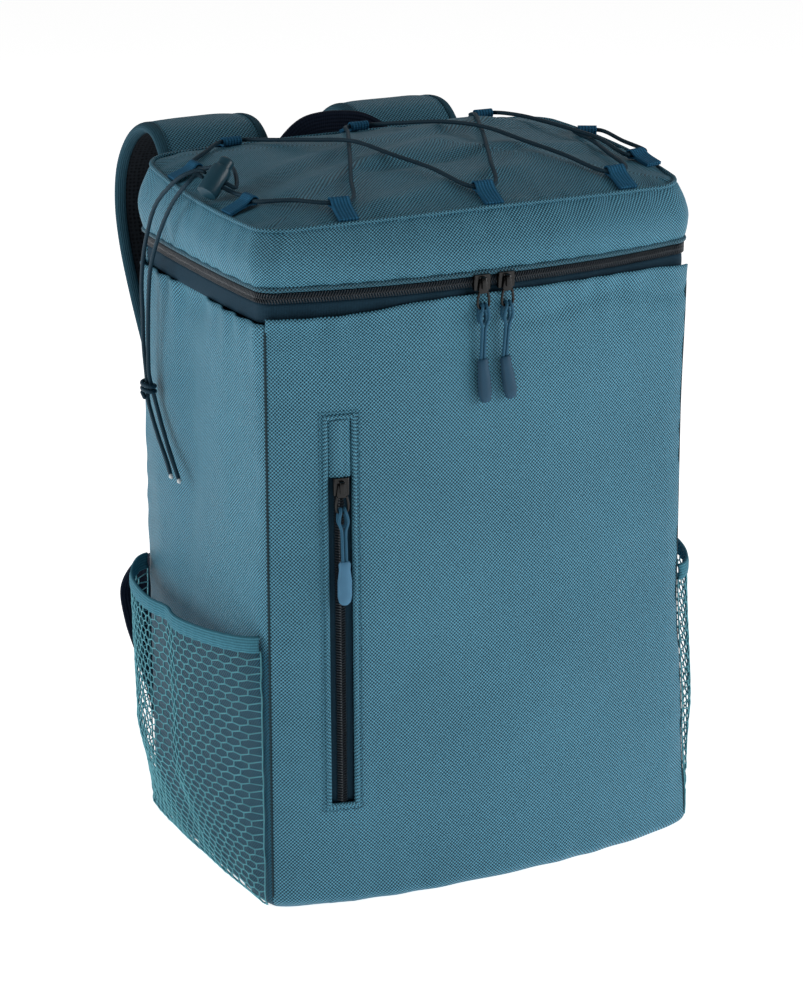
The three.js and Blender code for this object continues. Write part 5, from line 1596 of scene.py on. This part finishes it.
class BACKPACK_OT_straps(bpy.types.Operator):
    """Make the shoulder straps with their ladder locks and webbing"""

    bl_idname = "backpack.straps"
    bl_label = "Shoulder straps"

    def execute(self, context):
        for hand, centre, outward in STRAPS:
            self.pad(hand, centre * MM)
            self.fittings(hand)
            self.lower_webbing(hand, centre * MM, outward)
        return {"FINISHED"}

    def pad(self, hand, centre):
        """Two crowned faces, of cloth outside and air mesh inside, with bound edges."""
        s = sizes()
        line = curve_points([(0, y, z) for y, z in STRAP_COURSE], 3 * MM)
        ahead = directions(line)
        out = np.stack([np.zeros(len(line)), -ahead[:, 2], ahead[:, 1]], axis=1)
        count = len(line) - 1

        def half_width(k):
            return s.strap_width / 2 * (1 - 0.22 * k / count)

        def face(side):
            def place(u, v):
                k = index(v * count)
                edge = 1 - np.abs(u) ** 5
                x = centre + u * half_width(k)
                wave = 0.4 * MM * ripple(x, line[k, 1], line[k, 2], 30.0, 2.0)
                off = side * (s.strap_thickness / 2 * (0.25 + 0.75 * edge) + wave * edge)
                return x, line[k, 1] + out[k, 1] * off, line[k, 2] + out[k, 2] * off
            return place

        us = np.sin(np.linspace(-math.pi / 2, math.pi / 2, 33))
        vs = np.linspace(0, 1, count + 1)
        inside = (centre, 0.13, 0.33)
        upper = cloth_grid(f"strap_cloth_{hand}", us, vs, face(1), thickness=1 * MM, inside=inside)
        dress(upper, BAG, finish("strap_cloth"), [f"shoulder_strap_{hand}"])
        lining = cloth_grid(f"strap_mesh_{hand}", us, vs, face(-1), thickness=1 * MM, inside=inside)
        dress(lining, BAG, finish("air_mesh"))
        if sum(p.normal.dot(p.center - Vector(inside)) for p in lining.data.polygons) > 0:
            lining.data.flip_normals()
        for name, edge in (("outer", -1), ("inner", 1)):
            self.edge(f"strap_edge_{hand}_{name}", line, out, centre, edge, half_width)
            k = np.arange(count + 1)
            off = s.strap_thickness / 2 * (0.25 + 0.75 * (1 - 0.8 ** 5)) + 0.1 * MM
            seam = np.stack([centre + edge * 0.8 * half_width(k), line[:, 1] + out[:, 1] * off,
                             line[:, 2] + out[:, 2] * off], axis=1)
            middle = Vector(inside)
            row = stitch_row(f"strap_stitches_{hand}_{name}", seam, lambda p: p - middle)
            dress(row, BAG, finish("stitch"))

    def edge(self, name, line, out, centre, side, half_width):
        """A folded tape that wraps the edge of the pad."""
        count = len(line) - 1

        def place(u, v):
            k = index(v * count)
            turn = (u - 0.5) * math.pi
            x = centre + side * (half_width(k) - 5 * MM + 6 * MM * np.cos(turn))
            off = np.sin(turn) * (sizes().strap_thickness * 0.42)
            return x, line[k, 1] + out[k, 1] * off, line[k, 2] + out[k, 2] * off

        tape = cloth_grid(name, np.linspace(0, 1, 13), np.linspace(0, 1, count + 1), place,
                          thickness=0.7 * MM, inside=(centre, 0.13, 0.33))
        if sum(p.normal.x * (p.center.x - centre) for p in tape.data.polygons) < 0:
            tape.data.flip_normals()
        dress(tape, BAG, finish("strap_edge"))

    def fittings(self, hand):
        """The keeper and the ladder lock at the pad's lower end."""
        keeper = trimmed(f"keeper_{hand}", f"strap_keeper_{hand}", 0.3 * MM, 60)
        dress(keeper, BAG, finish("webbing_plain"), [f"strap_keeper_{hand}"])
        lock = trimmed(f"adjuster_{hand}", f"ladder_lock_{hand}", 0.9 * MM)
        dress(lock, BAG, finish("plastic"), [f"ladder_lock_{hand}"])

    def lower_webbing(self, hand, centre, outward):
        """Webbing from the ladder lock down and out to the back's lower corner."""
        s = sizes()
        last = len(WEBBING_COURSE) - 1
        aside = (outward * 112 - centre / MM) / 0.75
        line = curve_points([
            (centre / MM + aside * max(0, k / last - 0.25), y, z)
            for k, (y, z) in enumerate(WEBBING_COURSE)], 2 * MM)
        count = len(line) - 1

        def place(u, v):
            k = index(v * count)
            return line[k, 0] + u * s.webbing / 2, line[k, 1], line[k, 2]

        strip = cloth_grid(f"webbing_{hand}", np.linspace(-1, 1, 13), np.linspace(0, 1, count + 1),
                           place, thickness=1.4 * MM, inside=(centre, 0.1, 0.1))
        strip.modifiers["Thickness"].offset = 0
        dress(strip, BAG, finish("webbing"), [f"lower_webbing_{hand}"])


class BACKPACK_OT_handle(bpy.types.Operator):
    """Make the grab handle at the back of the lid"""

    bl_idname = "backpack.handle"
    bl_label = "Grab handle"

    def execute(self, context):
        s = sizes()
        points = [(a * s.body_width / 2, 0, lid_seam() + u * s.lid_rim) for a, u in HANDLE_COURSE]
        line = curve_points(points, 1.5 * MM, 1.0)
        ahead = directions(line)
        count = len(line) - 1
        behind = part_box("grab_handle")[0].y

        def place(u, v):
            k = index(v * count)
            bow = 1.6 * MM * np.sin(math.pi * v) ** 2 * (1 - u * u)
            return (line[k, 0] - ahead[k, 2] * u * s.handle / 2, behind + bow * 0.4,
                    line[k, 2] + ahead[k, 0] * u * s.handle / 2)

        strip = cloth_grid("handle_webbing", np.linspace(-1, 1, 15), np.linspace(0, 1, count + 1),
                           place, thickness=2.0 * MM, inside=(0, 0.3, 0.4))
        dress(strip, BAG, finish("webbing"), ["grab_handle"])
        return {"FINISHED"}


class BACKPACK_PT_panel(bpy.types.Panel):
    """Lists the steps that build the backpack"""

    bl_label = "Backpack"
    bl_idname = "BACKPACK_PT_panel"
    bl_space_type = "VIEW_3D"
    bl_region_type = "UI"
    bl_category = "Backpack"

    def draw(self, context):
        layout = self.layout
        for operator in STEPS:
            layout.operator(operator.bl_idname)
        for group in (context.scene.backpack_sizes, context.scene.backpack_colours):
            box = layout.box()
            for name in group.__annotations__:
                box.prop(group, name)


STEPS = (
    BACKPACK_OT_camera, BACKPACK_OT_tails, BACKPACK_OT_lace, BACKPACK_OT_body,
    BACKPACK_OT_main_zip, BACKPACK_OT_lid, BACKPACK_OT_pocket, BACKPACK_OT_pulls,
    BACKPACK_OT_nets, BACKPACK_OT_cord_lock, BACKPACK_OT_straps, BACKPACK_OT_handle,
    BACKPACK_OT_stage,
)
CLASSES = (BackpackSizes, BackpackColours, *STEPS, BACKPACK_PT_panel)


def register():
    for kind in CLASSES:
        bpy.utils.register_class(kind)
    bpy.types.Scene.backpack_sizes = bpy.props.PointerProperty(type=BackpackSizes)
    bpy.types.Scene.backpack_colours = bpy.props.PointerProperty(type=BackpackColours)


def unregister():
    del bpy.types.Scene.backpack_colours
    del bpy.types.Scene.backpack_sizes
    for kind in reversed(CLASSES):
        bpy.utils.unregister_class(kind)


def main():
    register()
    for step in STEPS:
        group, name = step.bl_idname.split(".")
        getattr(getattr(bpy.ops, group), name)()


if __name__ == "__main__":
    main()
